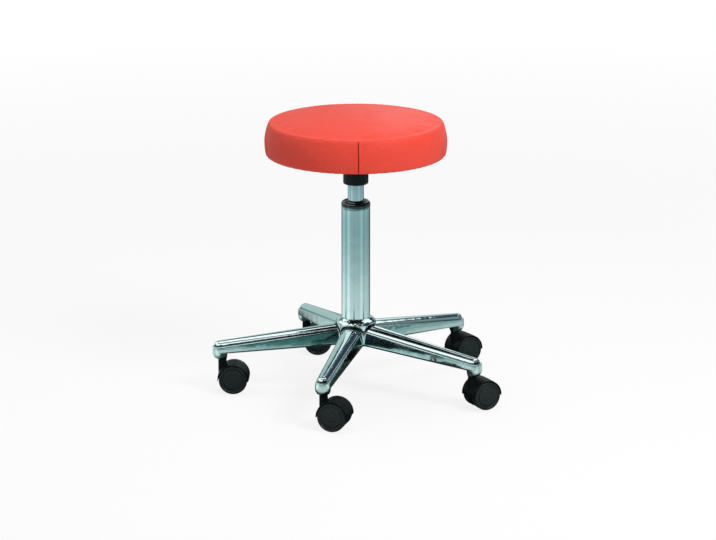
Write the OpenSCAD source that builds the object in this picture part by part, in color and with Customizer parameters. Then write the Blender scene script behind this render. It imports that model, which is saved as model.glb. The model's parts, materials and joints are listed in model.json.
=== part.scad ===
// Round height-adjustable swivel stool on a five-arm pressed-steel base with twin-wheel castors.
// Millimetres, +Z up. The origin is on the floor, on the axis of the column.
// The seat stands at the height that the photograph shows.

/* [Seat pad] */
// Widest diameter of the upholstered pad
pad_d = 317; // [280:1:360]
// Height from the underside of the pad to the rim of its top
pad_side_h = 59.5; // [45:0.5:80]
// Rise of the crown above the rim
pad_crown = 9; // [4:0.5:16]
// Radius of the rounded top edge
pad_edge_r = 17; // [10:0.5:22]
// Radius of the rounded bottom edge
pad_foot_r = 6; // [4:0.5:9]
// How far the side stands out at its middle
pad_bulge = 1.5; // [0.5:0.1:3]
// Thickness of the vinyl cover
cover_t = 1.4; // [1:0.1:2]
// Depth of the sewn seam below the rim
seam_drop = 3.5; // [2:0.1:5]
// Radius of the piping in the seam
welt_r = 1.2; // [0.8:0.1:1.8]
// Angle of the closing seam of the side band, seen from above
seam_azimuth = 271.8; // [180:0.1:360]
// Gap between the widest side of the pad and the plywood board
board_inset = 8.5; // [7:0.5:20]
// Thickness of the plywood board
board_t = 12; // [9:0.5:18]
// Width of the cover that is folded under the board
fold_w = 14; // [10:1:25]

/* [Seat plate] */
// Side of the square steel plate under the board
plate_w = 150; // [130:1:180]
// Thickness of the plate
plate_t = 3; // [2:0.5:4]
// Distance from the sides of the plate to the middle of each of its four bolts
bolt_edge = 15; // [12:0.5:20]
// Diameter of the bolts
bolt_d = 6; // [5:1:8]
// Outer diameter of the black socket that takes the gas spring
hub_d = 44; // [38:1:52]

/* [Gas spring] */
// Diameter of the pressure tube
gas_d = 28; // [26:0.5:30]
// Diameter of the piston rod
rod_d = 10; // [8:0.5:12]
// Travel of the seat below the height shown
lift_down = 28; // [15:1:40]
// Travel of the seat above the height shown
lift_up = 102; // [60:1:110]
// Length of the tapered top of the pressure tube
taper_len = 36; // [30:1:45]
// Taper of the pressure tube on its radius
taper_in = 0.9; // [0.6:0.1:1.2]

/* [Lever] */
// Direction of the release lever, seen from above
lever_azimuth = 62; // [0:1:360]
// Diameter of the lever rod
lever_d = 6; // [5:0.5:6]
// Height of the lever's flat tongue over the valve
tongue_h = 7; // [6.5:0.5:8]
// Width of the tongue
tongue_w = 7; // [6.5:0.5:8]
// Reach of the lever from the axis
lever_reach = 148; // [120:1:150]
// Distance of the lever's pivot from the axis
pivot_r = 18; // [16.5:0.5:19]
// Downward slope of the lever outside the socket
lever_slope = 10; // [8:0.5:14]

/* [Stand tube] */
// Outer diameter of the stand tube
tube_d = 50; // [46:0.5:54]
// Wall of the stand tube
tube_t = 1.5; // [1:0.1:2.5]
// Length of the tube that shows above the base hub
tube_show = 199.5; // [160:0.5:240]
// Height of the bush's flange on top of the tube
bush_flange_h = 9.5; // [6:0.5:12]
// Length of the bush inside the tube
bush_len = 69; // [50:1:80]

/* [Base] */
// Outer diameter of the base hub
base_hub_d = 71; // [68:1:76]
// Height of the straight wall of the base hub
base_hub_h = 36; // [34:1:44]
// Rise of the hub's sloping shoulder
shoulder_h = 10.5; // [6:0.5:14]
// Azimuth of the first arm, seen from above
arm_azimuth = 184.6; // [0:0.1:360]
// Radius of the circle on which the castor stems stand
stem_circle_r = 235; // [210:1:260]
// Distance from the stem to the centre of the arm's round nose
nose_offset = 3; // [0:0.5:5]
// Width of an arm's skirt at the hub
arm_root_w = 40; // [34:0.2:40]
// Width of an arm's top at the hub
arm_root_top_w = 36; // [33:0.5:38]
// Width of an arm's skirt at the nose
arm_tip_w = 26.4; // [25:0.2:32]
// Width of an arm's top at the nose
arm_tip_top_w = 25; // [23:0.5:26]
// Width of the raised ridge at the hub
ridge_root_w = 30; // [24:0.5:31]
// Width of the raised ridge at the nose
ridge_tip_w = 16; // [14:0.5:19]
// Height of the ridge above the shoulders at the hub
ridge_root_h = 8; // [5:0.5:10]
// Height of the ridge above the shoulders at the nose
ridge_tip_h = 5.5; // [4:0.5:7]
// Height of an arm at the hub, from its lower edge to its ridge
arm_root_h = 33; // [28:0.5:36]
// Height of an arm at the nose, from its lower edge to its ridge
arm_tip_h = 18; // [15:0.5:22]
// Rise of an arm's lower edge from the nose to the hub
arm_rise = 14; // [6:0.5:24]
// Thickness of the pressed sheet
sheet_t = 1.8; // [1.2:0.1:2.4]

/* [Castors] */
// Height from the floor to the socket that takes the stem
castor_h = 60; // [58:0.5:70]
// Diameter of the wheels
wheel_d = 50; // [46:1:52]
// Overall width over both wheels
castor_w = 43; // [40:0.5:50]
// Distance from the stem to the axle
trail = 19.5; // [17:0.5:22]
// Diameter of the stem
stem_d = 11; // [10:0.5:11.5]
// Diameter of the black neck round the stem
neck_d = 14.8; // [14.2:0.1:15.6]
// Diameter of the axle
axle_d = 8; // [6:0.5:9]
// Diameter of the sockets inside the arms
socket_d = 19; // [17:0.5:20]
// Diameter of the foot of the bowl under each nose
bowl_foot_d = 15.2; // [14.8:0.2:17]
// How far the sockets reach below the arms
socket_drop = 12; // [8:0.5:15]
// Directions in which the castors trail, first arm to fifth, seen from above
castor_headings = [-2, -17, 28, 32, 5]; // [-180:1:180]

/* [Hidden] */
$fn = 96;

// Fits and gaps shared by all pieces
run_fit = 0.05;
seat_fit = 0.02;
soft_gap = 0.3;
stop_gap = 0.5;
overrun = 2;

// Colours
vinyl_colour = [0.93, 0.33, 0.29];
chrome_colour = [0.72, 0.78, 0.78];
black_colour = [0.10, 0.11, 0.12];
steel_colour = [0.62, 0.63, 0.65];
ply_colour = [0.80, 0.66, 0.45];
foam_colour = [0.92, 0.86, 0.62];
rubber_colour = [0.16, 0.16, 0.16];

// Number of arms, and the angle between two of them
arms_n = 5;
arm_step = 360 / arms_n;

// Heights of the base, from the floor up
arm_tip_z = castor_h + socket_drop;
arm_root_z = arm_tip_z + arm_rise;
hub_wall_lap = 1;
base_hub_z = arm_root_z - hub_wall_lap;
shoulder_z = base_hub_z + base_hub_h;
base_hub_top_z = shoulder_z + shoulder_h;
tube_top_z = base_hub_top_z + tube_show;
bush_top_z = tube_top_z + bush_flange_h;

// Lower end of the stand tube: floor, bearing stack and rubber buffer
tube_recess = 5;
floor_t = 3;
washer_t = 2;
ball_r = 2;
buffer_t = 8;
spigot_r = 4;
bearing_r = 13;
tube_z = base_hub_z + tube_recess;
floor_top_z = tube_z + floor_t;
cage_z = floor_top_z + washer_t;
upper_washer_z = cage_z + 2 * ball_r;
buffer_z = upper_washer_z + washer_t;
buffer_top_z = buffer_z + buffer_t;
tube_taper_in = 0.7;

// Gas spring, placed by the travel that is left below it
hub_rest_gap = 2.5;
hub_z = bush_top_z + hub_rest_gap + lift_down;
gas_r = gas_d / 2;
gas_wall = 2;
gas_bore_r = gas_r - gas_wall;
gas_z = buffer_top_z + stop_gap + lift_down;
gas_top_r = gas_r - taper_in;
gas_top_z = hub_z + taper_len;
gas_lip_t = 1.5;
gas_lip_w = 2;
valve_block_h = 27;
guide_len = 20;
rod_r = rod_d / 2;
piston_t = 10;
piston_gap = 6.5;
piston_z = gas_z + gas_lip_t + guide_len + lift_up + piston_gap;

// Valve button and lever
button_r = 4;
button_show = 4.4;
button_len = 26;
button_lift_gap = 0.3;
lever_r = lever_d / 2;
lever_z = gas_top_z + button_show + button_lift_gap + tongue_h / 2;
lever_head_gap = 2.4;
lever_tail = 3;
pin_r = 2;
pin_len = 25;
slope_len = (lever_reach - pivot_r - tongue_h) / cos(lever_slope);
slot_gap = 0.8;
slot_below = 1.8;
grip_len = 50;
grip_r = 6.5;

// Seat plate, board and pad, stacked on the socket
hub_r = hub_d / 2;
hub_top_z = lever_z + tongue_h / 2 + lever_head_gap;
hub_edge_r = 3;
plate_top_z = hub_top_z + plate_t;
dust_t = 0.8;
board_z = plate_top_z + dust_t;
board_top_z = board_z + board_t;
board_r = pad_d / 2 - board_inset;
pad_z = board_z - cover_t;
pad_rim_z = pad_z + pad_side_h;
pad_r = pad_d / 2;
pad_rim_r = pad_r - pad_bulge - pad_edge_r;
seam_angle = asin((pad_edge_r - seam_drop) / pad_edge_r);
welt_half_angle = asin((welt_r + seat_fit) / (pad_edge_r - cover_t / 2));
welt_at = [pad_rim_r, pad_rim_z - pad_edge_r]
    + (pad_edge_r - cover_t / 2) * [cos(seam_angle), sin(seam_angle)];
crown_steps = 10;
edge_steps = 8;
side_steps = 8;
closing_seam_w = 0.8;
closing_seam_depth = 0.6;

// Bolts and tee nuts
bolt_r = bolt_d / 2;
bolt_spacing = plate_w - 2 * bolt_edge;
bolt_head_r = 1.85 * bolt_r;
bolt_head_h = 4;
tee_flange_r = 3 * bolt_r;
tee_flange_t = 1.2;
tee_wall = 1.1;
plate_corner_r = 16;
bead_r = 5;
bead_drop = 2.6;
bead_from_r = 34;
bead_to_r = bolt_spacing / sqrt(2) - bolt_head_r - bead_r - soft_gap;

// Stand tube and guide bush
tube_r = tube_d / 2;
tube_bore_r = tube_r - tube_t;
tube_foot_r = tube_r - tube_taper_in;
bush_edge_r = 5;
bush_land = 14;
bush_relief = 0.6;

// Base hub
base_hub_r = base_hub_d / 2;
hub_collar_t = 2.2;
shoulder_angle = 60;
arch_gap = 1.1;
arch_depth = 0.9;

// Arms: rows of the cross-section from the lower edge of the skirt to the middle of the ridge.
// A row holds shares of the skirt's, top's and ridge's half widths,
// then shares of the height to the shoulder and of the ridge's own height.
section_shares = [
    [1.00, 0.00, 0.00, 0.00, 0.00],
    [1.02, 0.00, 0.00, 0.05, 0.00],
    [0.92, 0.08, 0.00, 0.22, 0.00],
    [0.20, 0.80, 0.00, 0.82, 0.00],
    [0.00, 0.99, 0.00, 0.93, 0.00],
    [0.00, 0.82, 0.14, 0.99, 0.00],
    [0.00, 0.14, 0.88, 1.00, 0.03],
    [0.00, 0.00, 1.00, 1.00, 0.12],
    [0.00, 0.00, 0.95, 1.00, 0.44],
    [0.00, 0.00, 0.82, 1.00, 0.74],
    [0.00, 0.00, 0.60, 1.00, 0.92],
    [0.00, 0.00, 0.27, 1.00, 1.00]
];
side_stations = 5;
nose_steps = 10;
nose_r = stem_circle_r + nose_offset;
weld_gap = 0.25;
nose_dip = 1.6;

// Castors
wheel_r = wheel_d / 2;
castor_half_w = castor_w / 2;
stem_r = stem_d / 2;
neck_r = neck_d / 2;
axle_r = axle_d / 2;
web_w = 12;
wheel_neck_gap = 0.7;
wheel_in = neck_r + wheel_neck_gap;
wheel_side_gap = 0.3;
hood_gap = 1.2;
hood_t = 1.8;
hood_r = wheel_r + hood_gap + hood_t;
hood_lip = 1;
web_drop = 9;
web_inset = 1.5;
rim_t = 3.6;
tread_r = 2.4;
face_recess = 1.2;
face_bevel = 1.3;
disc_t = 2.2;
wheel_hub_r = 8;
wheel_ribs = 6;
rib_t = 1.2;
cap_r = 5.5;
cap_rise = 0.5;
axle_in = 2.4;
stem_grip = 22;
stem_foot_h = 38;
socket_r = socket_d / 2;
socket_top_z = arm_tip_z + arm_tip_h - ridge_tip_h - sheet_t - soft_gap;
bowl_foot_r = bowl_foot_d / 2;
bowl_r = arm_tip_w / 2 - soft_gap;
bowl_top_z = arm_tip_z - nose_dip - soft_gap;
ring_h = 4;
ring_t = 0.9;
ring_over = 0.1;
ring_drop = 5;
ring_z = castor_h + stem_grip - ring_drop - ring_h;
chamfer = 0.8;

// An arc from angle a to angle b round a centre
function arc(c, r, a, b, n) = [for (i = [0:n]) c + r * [cos(a + (b - a) * i / n), sin(a + (b - a) * i / n)]];
function reversed(list) = [for (i = [len(list) - 1:-1:0]) list[i]];
function mix(a, b, t) = a + (b - a) * t;

// Outline of the pad from the middle of the top to its rim, set in by an even depth
function pad_crown_line(inset) = [
    for (i = [0:crown_steps - 1])
        let (r = pad_rim_r * i / crown_steps)
            [r, pad_rim_z - inset + pad_crown * (1 - pow(r / pad_rim_r, 2))]
];

// Rounded top edge between two angles
function pad_edge_line(inset, a, b) =
    arc([pad_rim_r, pad_rim_z - pad_edge_r], pad_edge_r - inset, a, b, edge_steps);

// Bulged side and rounded foot of the pad
function pad_side_line(inset) =
    let (top = pad_rim_z - pad_edge_r, foot = pad_z + pad_foot_r, r = pad_rim_r + pad_edge_r - inset)
        [for (i = [1:side_steps])
            [r + pad_bulge * sin(180 * i / side_steps), mix(top, foot, i / side_steps)]];

function pad_foot_line(inset) =
    arc([pad_rim_r + pad_edge_r - pad_foot_r, pad_z + pad_foot_r], pad_foot_r - inset, 0, -90, edge_steps);

// Half width and height of a row of the arm's section, t along the arm from the hub to the nose
function row_w(row, t) =
    row[0] * mix(arm_root_w, arm_tip_w, t) / 2
    + row[1] * mix(arm_root_top_w, arm_tip_top_w, t) / 2
    + row[2] * mix(ridge_root_w, ridge_tip_w, t) / 2;
function row_h(row, t) =
    row[3] * mix(arm_root_h - ridge_root_h, arm_tip_h - ridge_tip_h, t)
    + row[4] * mix(ridge_root_h, ridge_tip_h, t);
function arm_z(t) = mix(arm_root_z, arm_tip_z, t);

// Share of the arm's length at a distance from the axis, from the hub's wall to the nose
function arm_share(r) = (r - base_hub_r) / (nose_r - base_hub_r);

// Where a row of the skin meets the round wall of the hub
function root_x(row, inset) = sqrt(pow(base_hub_r + weld_gap, 2) - pow(row_w(row, 0) - inset, 2));

// A point on one side of the skin, at a share of the way from the hub to the nose
function side_point(row, inset, drop, side, share) =
    let (r = mix(root_x(row, inset), nose_r, share), t = arm_share(r))
        [r, side * (row_w(row, share > 0 ? t : 0) - inset), arm_z(t) + row_h(row, t) - drop];

// One line of the arm's skin: along one side, round the nose and back along the other side
function skin_line(row, inset) =
    let (drop = inset * row[3], tip_w = row_w(row, 1) - inset, dip = nose_dip * (1 - row[3]))
        concat(
            [for (k = [0:side_stations - 1]) side_point(row, inset, drop, 1, k / side_stations)],
            [for (j = [0:nose_steps])
                let (a = 90 - 180 * j / nose_steps)
                    [nose_r + tip_w * cos(a), tip_w * sin(a),
                     arm_z(1) + row_h(row, 1) - drop - dip * cos(a)]],
            [for (k = [side_stations - 1:-1:0]) side_point(row, inset, drop, -1, k / side_stations)]
        );

// Upholstery
module seat_cover_top() {
    color(vinyl_colour)
        rotate_extrude()
            polygon(concat(
                pad_crown_line(0),
                pad_edge_line(0, 90, seam_angle + welt_half_angle),
                reversed(pad_edge_line(cover_t, 90, seam_angle + welt_half_angle)),
                reversed(pad_crown_line(cover_t))
            ));
}

module seat_cover_band() {
    fold_r = board_r - fold_w;
    color(vinyl_colour)
        difference() {
            rotate_extrude()
                polygon(concat(
                    pad_edge_line(0, seam_angle - welt_half_angle, 0),
                    pad_side_line(0),
                    pad_foot_line(0),
                    [[fold_r, pad_z], [fold_r, pad_z + cover_t]],
                    reversed(pad_foot_line(cover_t)),
                    reversed(pad_side_line(cover_t)),
                    reversed(pad_edge_line(cover_t, seam_angle - welt_half_angle, 0))
                ));
            rotate([0, 0, seam_azimuth])
                translate([pad_r - pad_bulge - closing_seam_depth, -closing_seam_w / 2, pad_z])
                    cube([pad_edge_r, closing_seam_w, pad_side_h - pad_edge_r + seam_drop]);
        }
}

module welt_ring(r) {
    rotate_extrude()
        translate(welt_at)
            circle(r = r, $fn = 24);
}

module seat_welt() {
    color(vinyl_colour)
        welt_ring(welt_r);
}

module seat_foam() {
    inset = cover_t + soft_gap;
    side = pad_side_line(inset);
    color(foam_colour)
        difference() {
            rotate_extrude()
                polygon(concat(
                    pad_crown_line(inset),
                    pad_edge_line(inset, 90, 0),
                    side,
                    [[board_r + soft_gap, side[side_steps - 1][1]],
                     [board_r + soft_gap, board_top_z],
                     [0, board_top_z]]
                ));
            welt_ring(welt_r + soft_gap);
        }
}

module bolt_places() {
    for (x = [-1, 1], y = [-1, 1])
        translate([x * bolt_spacing / 2, y * bolt_spacing / 2, 0])
            children();
}

module seat_board() {
    color(ply_colour)
        difference() {
            translate([0, 0, board_z])
                cylinder(r = board_r, h = board_t);
            bolt_places()
                translate([0, 0, board_z - overrun])
                    cylinder(r = bolt_r + tee_wall + seat_fit, h = board_t + 2 * overrun);
            bolt_places()
                translate([0, 0, board_top_z - tee_flange_t])
                    cylinder(r = tee_flange_r + seat_fit, h = tee_flange_t + overrun);
        }
}

module seat_dust_cover() {
    color(black_colour)
        difference() {
            translate([0, 0, board_z - dust_t])
                cylinder(r = board_r - fold_w - soft_gap, h = dust_t);
            bolt_places()
                translate([0, 0, board_z - dust_t - overrun])
                    cylinder(r = bolt_r + soft_gap, h = dust_t + 2 * overrun);
        }
}

module seat_tee_nuts() {
    color(steel_colour)
        bolt_places()
            difference() {
                union() {
                    translate([0, 0, board_z])
                        cylinder(r = bolt_r + tee_wall, h = board_t - tee_flange_t);
                    translate([0, 0, board_top_z - tee_flange_t])
                        cylinder(r = tee_flange_r, h = tee_flange_t);
                }
                translate([0, 0, board_z - overrun])
                    cylinder(r = bolt_r + seat_fit, h = board_t + 2 * overrun);
            }
}

// Seat plate with four pressed beads towards its corners
module rounded_square(w, r) {
    union() {
        square([w - 2 * r, w], center = true);
        square([w, w - 2 * r], center = true);
        for (x = [-1, 1], y = [-1, 1])
            translate([x * (w / 2 - r), y * (w / 2 - r)])
                circle(r = r);
    }
}

module seat_plate() {
    color(black_colour)
        difference() {
            union() {
                translate([0, 0, hub_top_z])
                    linear_extrude(plate_t)
                        rounded_square(plate_w, plate_corner_r);
                for (i = [0:3])
                    rotate([0, 0, 45 + 90 * i])
                        translate([bead_from_r, 0, hub_top_z - bead_drop + bead_r])
                            rotate([0, 90, 0])
                                cylinder(r = bead_r, h = bead_to_r - bead_from_r);
            }
            translate([0, 0, plate_top_z])
                cylinder(r = plate_w, h = 2 * bead_r);
            bolt_places()
                translate([0, 0, hub_top_z - overrun])
                    cylinder(r = bolt_r + soft_gap, h = plate_t + 2 * overrun);
        }
}

module plate_bolts() {
    shank_h = plate_t + dust_t + board_t - tee_flange_t;
    color(steel_colour)
        bolt_places() {
            translate([0, 0, hub_top_z - bolt_head_h])
                cylinder(r = bolt_head_r, h = bolt_head_h, $fn = 6);
            translate([0, 0, hub_top_z])
                cylinder(r = bolt_r, h = shank_h);
        }
}

// Black socket under the plate, with the slot and the cross hole of the lever
module taper_hub() {
    slot_z = lever_z - tongue_h / 2 - slot_below;
    color(black_colour)
        difference() {
            rotate_extrude()
                polygon(concat(
                    [[0, hub_top_z], [hub_r, hub_top_z]],
                    arc([hub_r - hub_edge_r, hub_z + hub_edge_r], hub_edge_r, 0, -90, edge_steps),
                    [[0, hub_z]]
                ));
            translate([0, 0, hub_z])
                cylinder(r1 = gas_r + seat_fit, r2 = gas_top_r + seat_fit, h = taper_len);
            translate([0, 0, hub_z - overrun])
                cylinder(r = gas_r + seat_fit, h = overrun);
            translate([0, 0, gas_top_z])
                cylinder(r = gas_top_r + seat_fit, h = hub_top_z - gas_top_z + overrun);
            rotate([0, 0, lever_azimuth])
                translate([0, -tongue_w / 2 - slot_gap, slot_z])
                    cube([hub_r + overrun, tongue_w + 2 * slot_gap, hub_top_z - slot_z + overrun]);
            rotate([0, 0, lever_azimuth])
                translate([pivot_r, 0, lever_z])
                    rotate([90, 0, 0])
                        cylinder(r = pin_r + seat_fit, h = hub_d, center = true);
        }
}

// Pressure tube of the gas spring, tapered where it is wedged in the socket
module gas_cylinder() {
    color(chrome_colour)
        rotate_extrude()
            polygon([
                [gas_bore_r - gas_lip_w, gas_z],
                [gas_r - chamfer, gas_z],
                [gas_r, gas_z + chamfer],
                [gas_r, hub_z],
                [gas_top_r, gas_top_z],
                [button_r + run_fit, gas_top_z],
                [button_r + run_fit, gas_top_z - valve_block_h],
                [gas_bore_r, gas_top_z - valve_block_h],
                [gas_bore_r, gas_z + gas_lip_t],
                [gas_bore_r - gas_lip_w, gas_z + gas_lip_t]
            ]);
}

module rod_guide() {
    color(steel_colour)
        difference() {
            translate([0, 0, gas_z + gas_lip_t])
                cylinder(r = gas_bore_r - seat_fit, h = guide_len);
            translate([0, 0, gas_z])
                cylinder(r = rod_r + run_fit, h = guide_len + gas_lip_t + overrun);
        }
}

module lever_pivot_pin() {
    color(steel_colour)
        rotate([0, 0, lever_azimuth])
            translate([pivot_r, 0, lever_z])
                rotate([90, 0, 0])
                    cylinder(r = pin_r, h = pin_len, center = true);
}

module valve_button() {
    color(steel_colour)
        rotate_extrude()
            polygon(concat(
                [[0, gas_top_z + button_show - button_len]],
                [[button_r, gas_top_z + button_show - button_len]],
                arc([0, gas_top_z + button_show - button_r], button_r, 0, 90, edge_steps)
            ));
}

// Release lever: a flat tongue over the valve, and a rod that slopes down and out to the grip
module in_lever_frame() {
    rotate([0, 0, lever_azimuth])
        translate([0, 0, lever_z])
            children();
}

module along_slope() {
    in_lever_frame()
        translate([pivot_r + tongue_h, 0, 0])
            rotate([0, 90 + lever_slope, 0])
                children();
}

module release_lever() {
    color(steel_colour)
        difference() {
            union() {
                in_lever_frame()
                    translate([-lever_tail, -tongue_w / 2, -tongue_h / 2])
                        cube([lever_tail + pivot_r + 2 * tongue_h, tongue_w, tongue_h]);
                along_slope()
                    cylinder(r = lever_r, h = slope_len - grip_r);
            }
            in_lever_frame()
                translate([pivot_r, 0, 0])
                    rotate([90, 0, 0])
                        cylinder(r = pin_r + run_fit, h = tongue_w + 2 * overrun, center = true);
        }
}

module lever_grip() {
    color(black_colour)
        along_slope()
            difference() {
                translate([0, 0, slope_len - grip_len])
                    rotate_extrude()
                        polygon(concat(
                            [[0, 0]],
                            arc([grip_r - chamfer, chamfer], chamfer, -90, 0, edge_steps),
                            arc([0, grip_len - grip_r], grip_r, 0, 90, edge_steps)
                        ));
                cylinder(r = lever_r + seat_fit, h = slope_len - grip_r + seat_fit);
            }
}

// Piston rod with a shoulder that stands on the bearing
module piston_rod() {
    clip_z = tube_z - soft_gap - chamfer;
    color(chrome_colour)
        difference() {
            union() {
                translate([0, 0, base_hub_z + stop_gap])
                    cylinder(r = spigot_r, h = piston_z + piston_t - base_hub_z);
                translate([0, 0, buffer_z])
                    cylinder(r = rod_r, h = piston_z - buffer_z);
            }
            translate([0, 0, clip_z - seat_fit])
                difference() {
                    cylinder(r = rod_d, h = chamfer + 2 * seat_fit);
                    cylinder(r = spigot_r - chamfer, h = chamfer + 2 * seat_fit);
                }
        }
}

module retaining_clip() {
    clip_r = 1.8 * spigot_r;
    color(steel_colour)
        translate([0, 0, tube_z - soft_gap - chamfer])
            difference() {
                cylinder(r = clip_r, h = chamfer);
                translate([0, 0, -overrun])
                    cylinder(r = spigot_r - chamfer + seat_fit, h = chamfer + 2 * overrun);
                translate([0, -spigot_r / 2, -overrun])
                    cube([clip_r + overrun, spigot_r, chamfer + 2 * overrun]);
            }
}

module piston() {
    groove_h = piston_t / 4;
    color(steel_colour)
        difference() {
            translate([0, 0, piston_z])
                cylinder(r = gas_bore_r - run_fit, h = piston_t);
            translate([0, 0, piston_z - overrun])
                cylinder(r = spigot_r + seat_fit, h = piston_t + 2 * overrun);
            translate([0, 0, piston_z + piston_t / 2 - groove_h / 2])
                difference() {
                    cylinder(r = gas_r, h = groove_h);
                    cylinder(r = gas_bore_r - chamfer, h = groove_h);
                }
        }
}

module washer(z, hole_r, h) {
    difference() {
        translate([0, 0, z])
            cylinder(r = bearing_r, h = h);
        translate([0, 0, z - overrun])
            cylinder(r = hole_r, h = h + 2 * overrun);
    }
}

module bearing_upper_washer() {
    color(steel_colour)
        washer(upper_washer_z, spigot_r + seat_fit, washer_t);
}

module bearing_lower_washer() {
    color(steel_colour)
        washer(floor_top_z, spigot_r + run_fit, washer_t);
}

module rubber_buffer() {
    color(rubber_colour)
        washer(buffer_z, rod_r + seat_fit, buffer_t);
}

module thrust_bearing() {
    balls_n = 10;
    pitch_r = (bearing_r + spigot_r) / 2;
    cage_t = ball_r;
    color(steel_colour) {
        difference() {
            washer(cage_z + ball_r - cage_t / 2, spigot_r + chamfer, cage_t);
            for (i = [0:balls_n - 1])
                rotate([0, 0, 360 * i / balls_n])
                    translate([pitch_r, 0, cage_z - overrun])
                        cylinder(r = ball_r + seat_fit, h = 2 * ball_r + 2 * overrun, $fn = 32);
        }
        for (i = [0:balls_n - 1])
            rotate([0, 0, 360 * i / balls_n])
                translate([pitch_r, 0, cage_z + ball_r])
                    sphere(r = ball_r - seat_fit, $fn = 32);
    }
}

// Stand tube, tapered where it is wedged in the base hub, with a floor for the bearing
module stand_tube() {
    color(chrome_colour)
        rotate_extrude()
            polygon([
                [spigot_r + 2 * run_fit, tube_z],
                [tube_foot_r, tube_z],
                [tube_r, base_hub_top_z],
                [tube_r, tube_top_z],
                [tube_bore_r, tube_top_z],
                [tube_bore_r, base_hub_top_z],
                [tube_foot_r - tube_t, floor_top_z],
                [spigot_r + 2 * run_fit, floor_top_z]
            ]);
}

module guide_bush() {
    bush_z = tube_top_z - bush_len;
    fit_r = gas_r + run_fit;
    color(black_colour)
        rotate_extrude()
            polygon(concat(
                [[fit_r, bush_z],
                 [tube_bore_r - seat_fit, bush_z],
                 [tube_bore_r - seat_fit, tube_top_z],
                 [tube_r, tube_top_z]],
                arc([tube_r - bush_edge_r, bush_top_z - bush_edge_r], bush_edge_r, 0, 90, edge_steps),
                [[fit_r + chamfer, bush_top_z],
                 [fit_r, bush_top_z - chamfer],
                 [fit_r, bush_top_z - bush_land],
                 [fit_r + bush_relief, bush_top_z - bush_land - bush_relief],
                 [fit_r + bush_relief, bush_z + bush_land + bush_relief],
                 [fit_r, bush_z + bush_land]]
            ));
}

// Cross-section of an arm as a flat outline, grown by an even gap
function section_outline(grow) =
    let (half = [for (row = section_shares) [row_w(row, 0) + grow, arm_root_z + row_h(row, 0) + grow]])
        concat(half, [for (p = reversed(half)) [-p[0], p[1]]]);

// Hub of the base, bored for the tapered tube, with an arched groove over each arm
module base_hub() {
    neck_out_r = tube_r + hub_collar_t;
    color(chrome_colour)
        difference() {
            rotate_extrude()
                polygon(concat(
                    [[0, base_hub_z],
                     [base_hub_r, base_hub_z],
                     [base_hub_r, shoulder_z]],
                    arc([neck_out_r, shoulder_z], base_hub_r - neck_out_r, 0, shoulder_angle, edge_steps),
                    [[neck_out_r, base_hub_top_z],
                     [0, base_hub_top_z]]
                ));
            translate([0, 0, tube_z])
                cylinder(r1 = tube_foot_r + seat_fit, r2 = tube_r + seat_fit, h = base_hub_top_z - tube_z);
            translate([0, 0, base_hub_z - overrun])
                cylinder(r = tube_foot_r, h = tube_recess + 2 * overrun);
            for (k = [0:arms_n - 1])
                rotate([0, 0, arm_azimuth + k * arm_step])
                    translate([base_hub_r - arch_depth, 0, 0])
                        rotate([90, 0, 90])
                            linear_extrude(overrun + arch_depth)
                                difference() {
                                    polygon(section_outline(arch_gap));
                                    polygon(section_outline(0));
                                }
        }
}

// Pressed arm: two skins lofted along the arm, joined at the lower edge and at the root
module arm_shell() {
    rows = len(section_shares);
    cols = 2 * side_stations + nose_steps + 1;
    outer = [for (row = section_shares) each skin_line(row, 0)];
    inner = [for (row = section_shares) each skin_line(row, sheet_t)];
    shift = rows * cols;
    skin = [for (i = [0:rows - 2], j = [0:cols - 2])
        each [[i * cols + j, (i + 1) * cols + j + 1, (i + 1) * cols + j],
              [i * cols + j, i * cols + j + 1, (i + 1) * cols + j + 1]]];
    top = (rows - 1) * cols;
    lid = [for (j = [0:side_stations + nose_steps / 2 - 1])
        let (a = top + j, b = top + cols - 1 - j)
            each (j < side_stations + nose_steps / 2 - 1
                ? [[a, b - 1, b], [a, a + 1, b - 1]]
                : [[a, b - 1, b]])];
    edge = [for (j = [0:cols - 2])
        each [[j, shift + j + 1, j + 1], [j, shift + j, shift + j + 1]]];
    root_left = [for (i = [0:rows - 2])
        let (a = i * cols, b = (i + 1) * cols)
            each [[a, shift + b, shift + a], [a, b, shift + b]]];
    root_right = [for (i = [0:rows - 2])
        let (a = i * cols + cols - 1, b = (i + 1) * cols + cols - 1)
            each [[a, shift + a, shift + b], [a, shift + b, b]]];
    root_top = let (a = top, b = top + cols - 1) [[a, shift + b, shift + a], [a, b, shift + b]];
    polyhedron(
        points = concat(outer, inner),
        faces = concat(
            skin, lid,
            [for (f = concat(skin, lid)) [for (i = reversed(f)) i + shift]],
            edge, root_left, root_right, root_top
        )
    );
}

module arm(k) {
    color(chrome_colour)
        rotate([0, 0, arm_azimuth + k * arm_step])
            arm_shell();
}

module arm_1() { arm(0); }
module arm_2() { arm(1); }
module arm_3() { arm(2); }
module arm_4() { arm(3); }
module arm_5() { arm(4); }

// Everything on a castor is drawn with its stem on the Z axis and trailing along +X
module at_stem(k) {
    rotate([0, 0, arm_azimuth + k * arm_step])
        translate([stem_circle_r, 0, 0])
            rotate([0, 0, castor_headings[k] - arm_azimuth - k * arm_step])
                children();
}

module castor_sockets() {
    color(chrome_colour)
        for (k = [0:arms_n - 1])
            at_stem(k)
                difference() {
                    rotate_extrude()
                        polygon(concat(
                            [[0, castor_h]],
                            [for (i = [0:edge_steps])
                                let (a = 90 * i / edge_steps)
                                    [mix(bowl_foot_r, bowl_r, sin(a)), mix(bowl_top_z, castor_h, cos(a))]],
                            [[socket_r, bowl_top_z], [socket_r, socket_top_z], [0, socket_top_z]]
                        ));
                    translate([0, 0, castor_h - overrun])
                        cylinder(r = stem_r + ring_over + seat_fit, h = stem_grip + overrun);
                }
}

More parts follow.
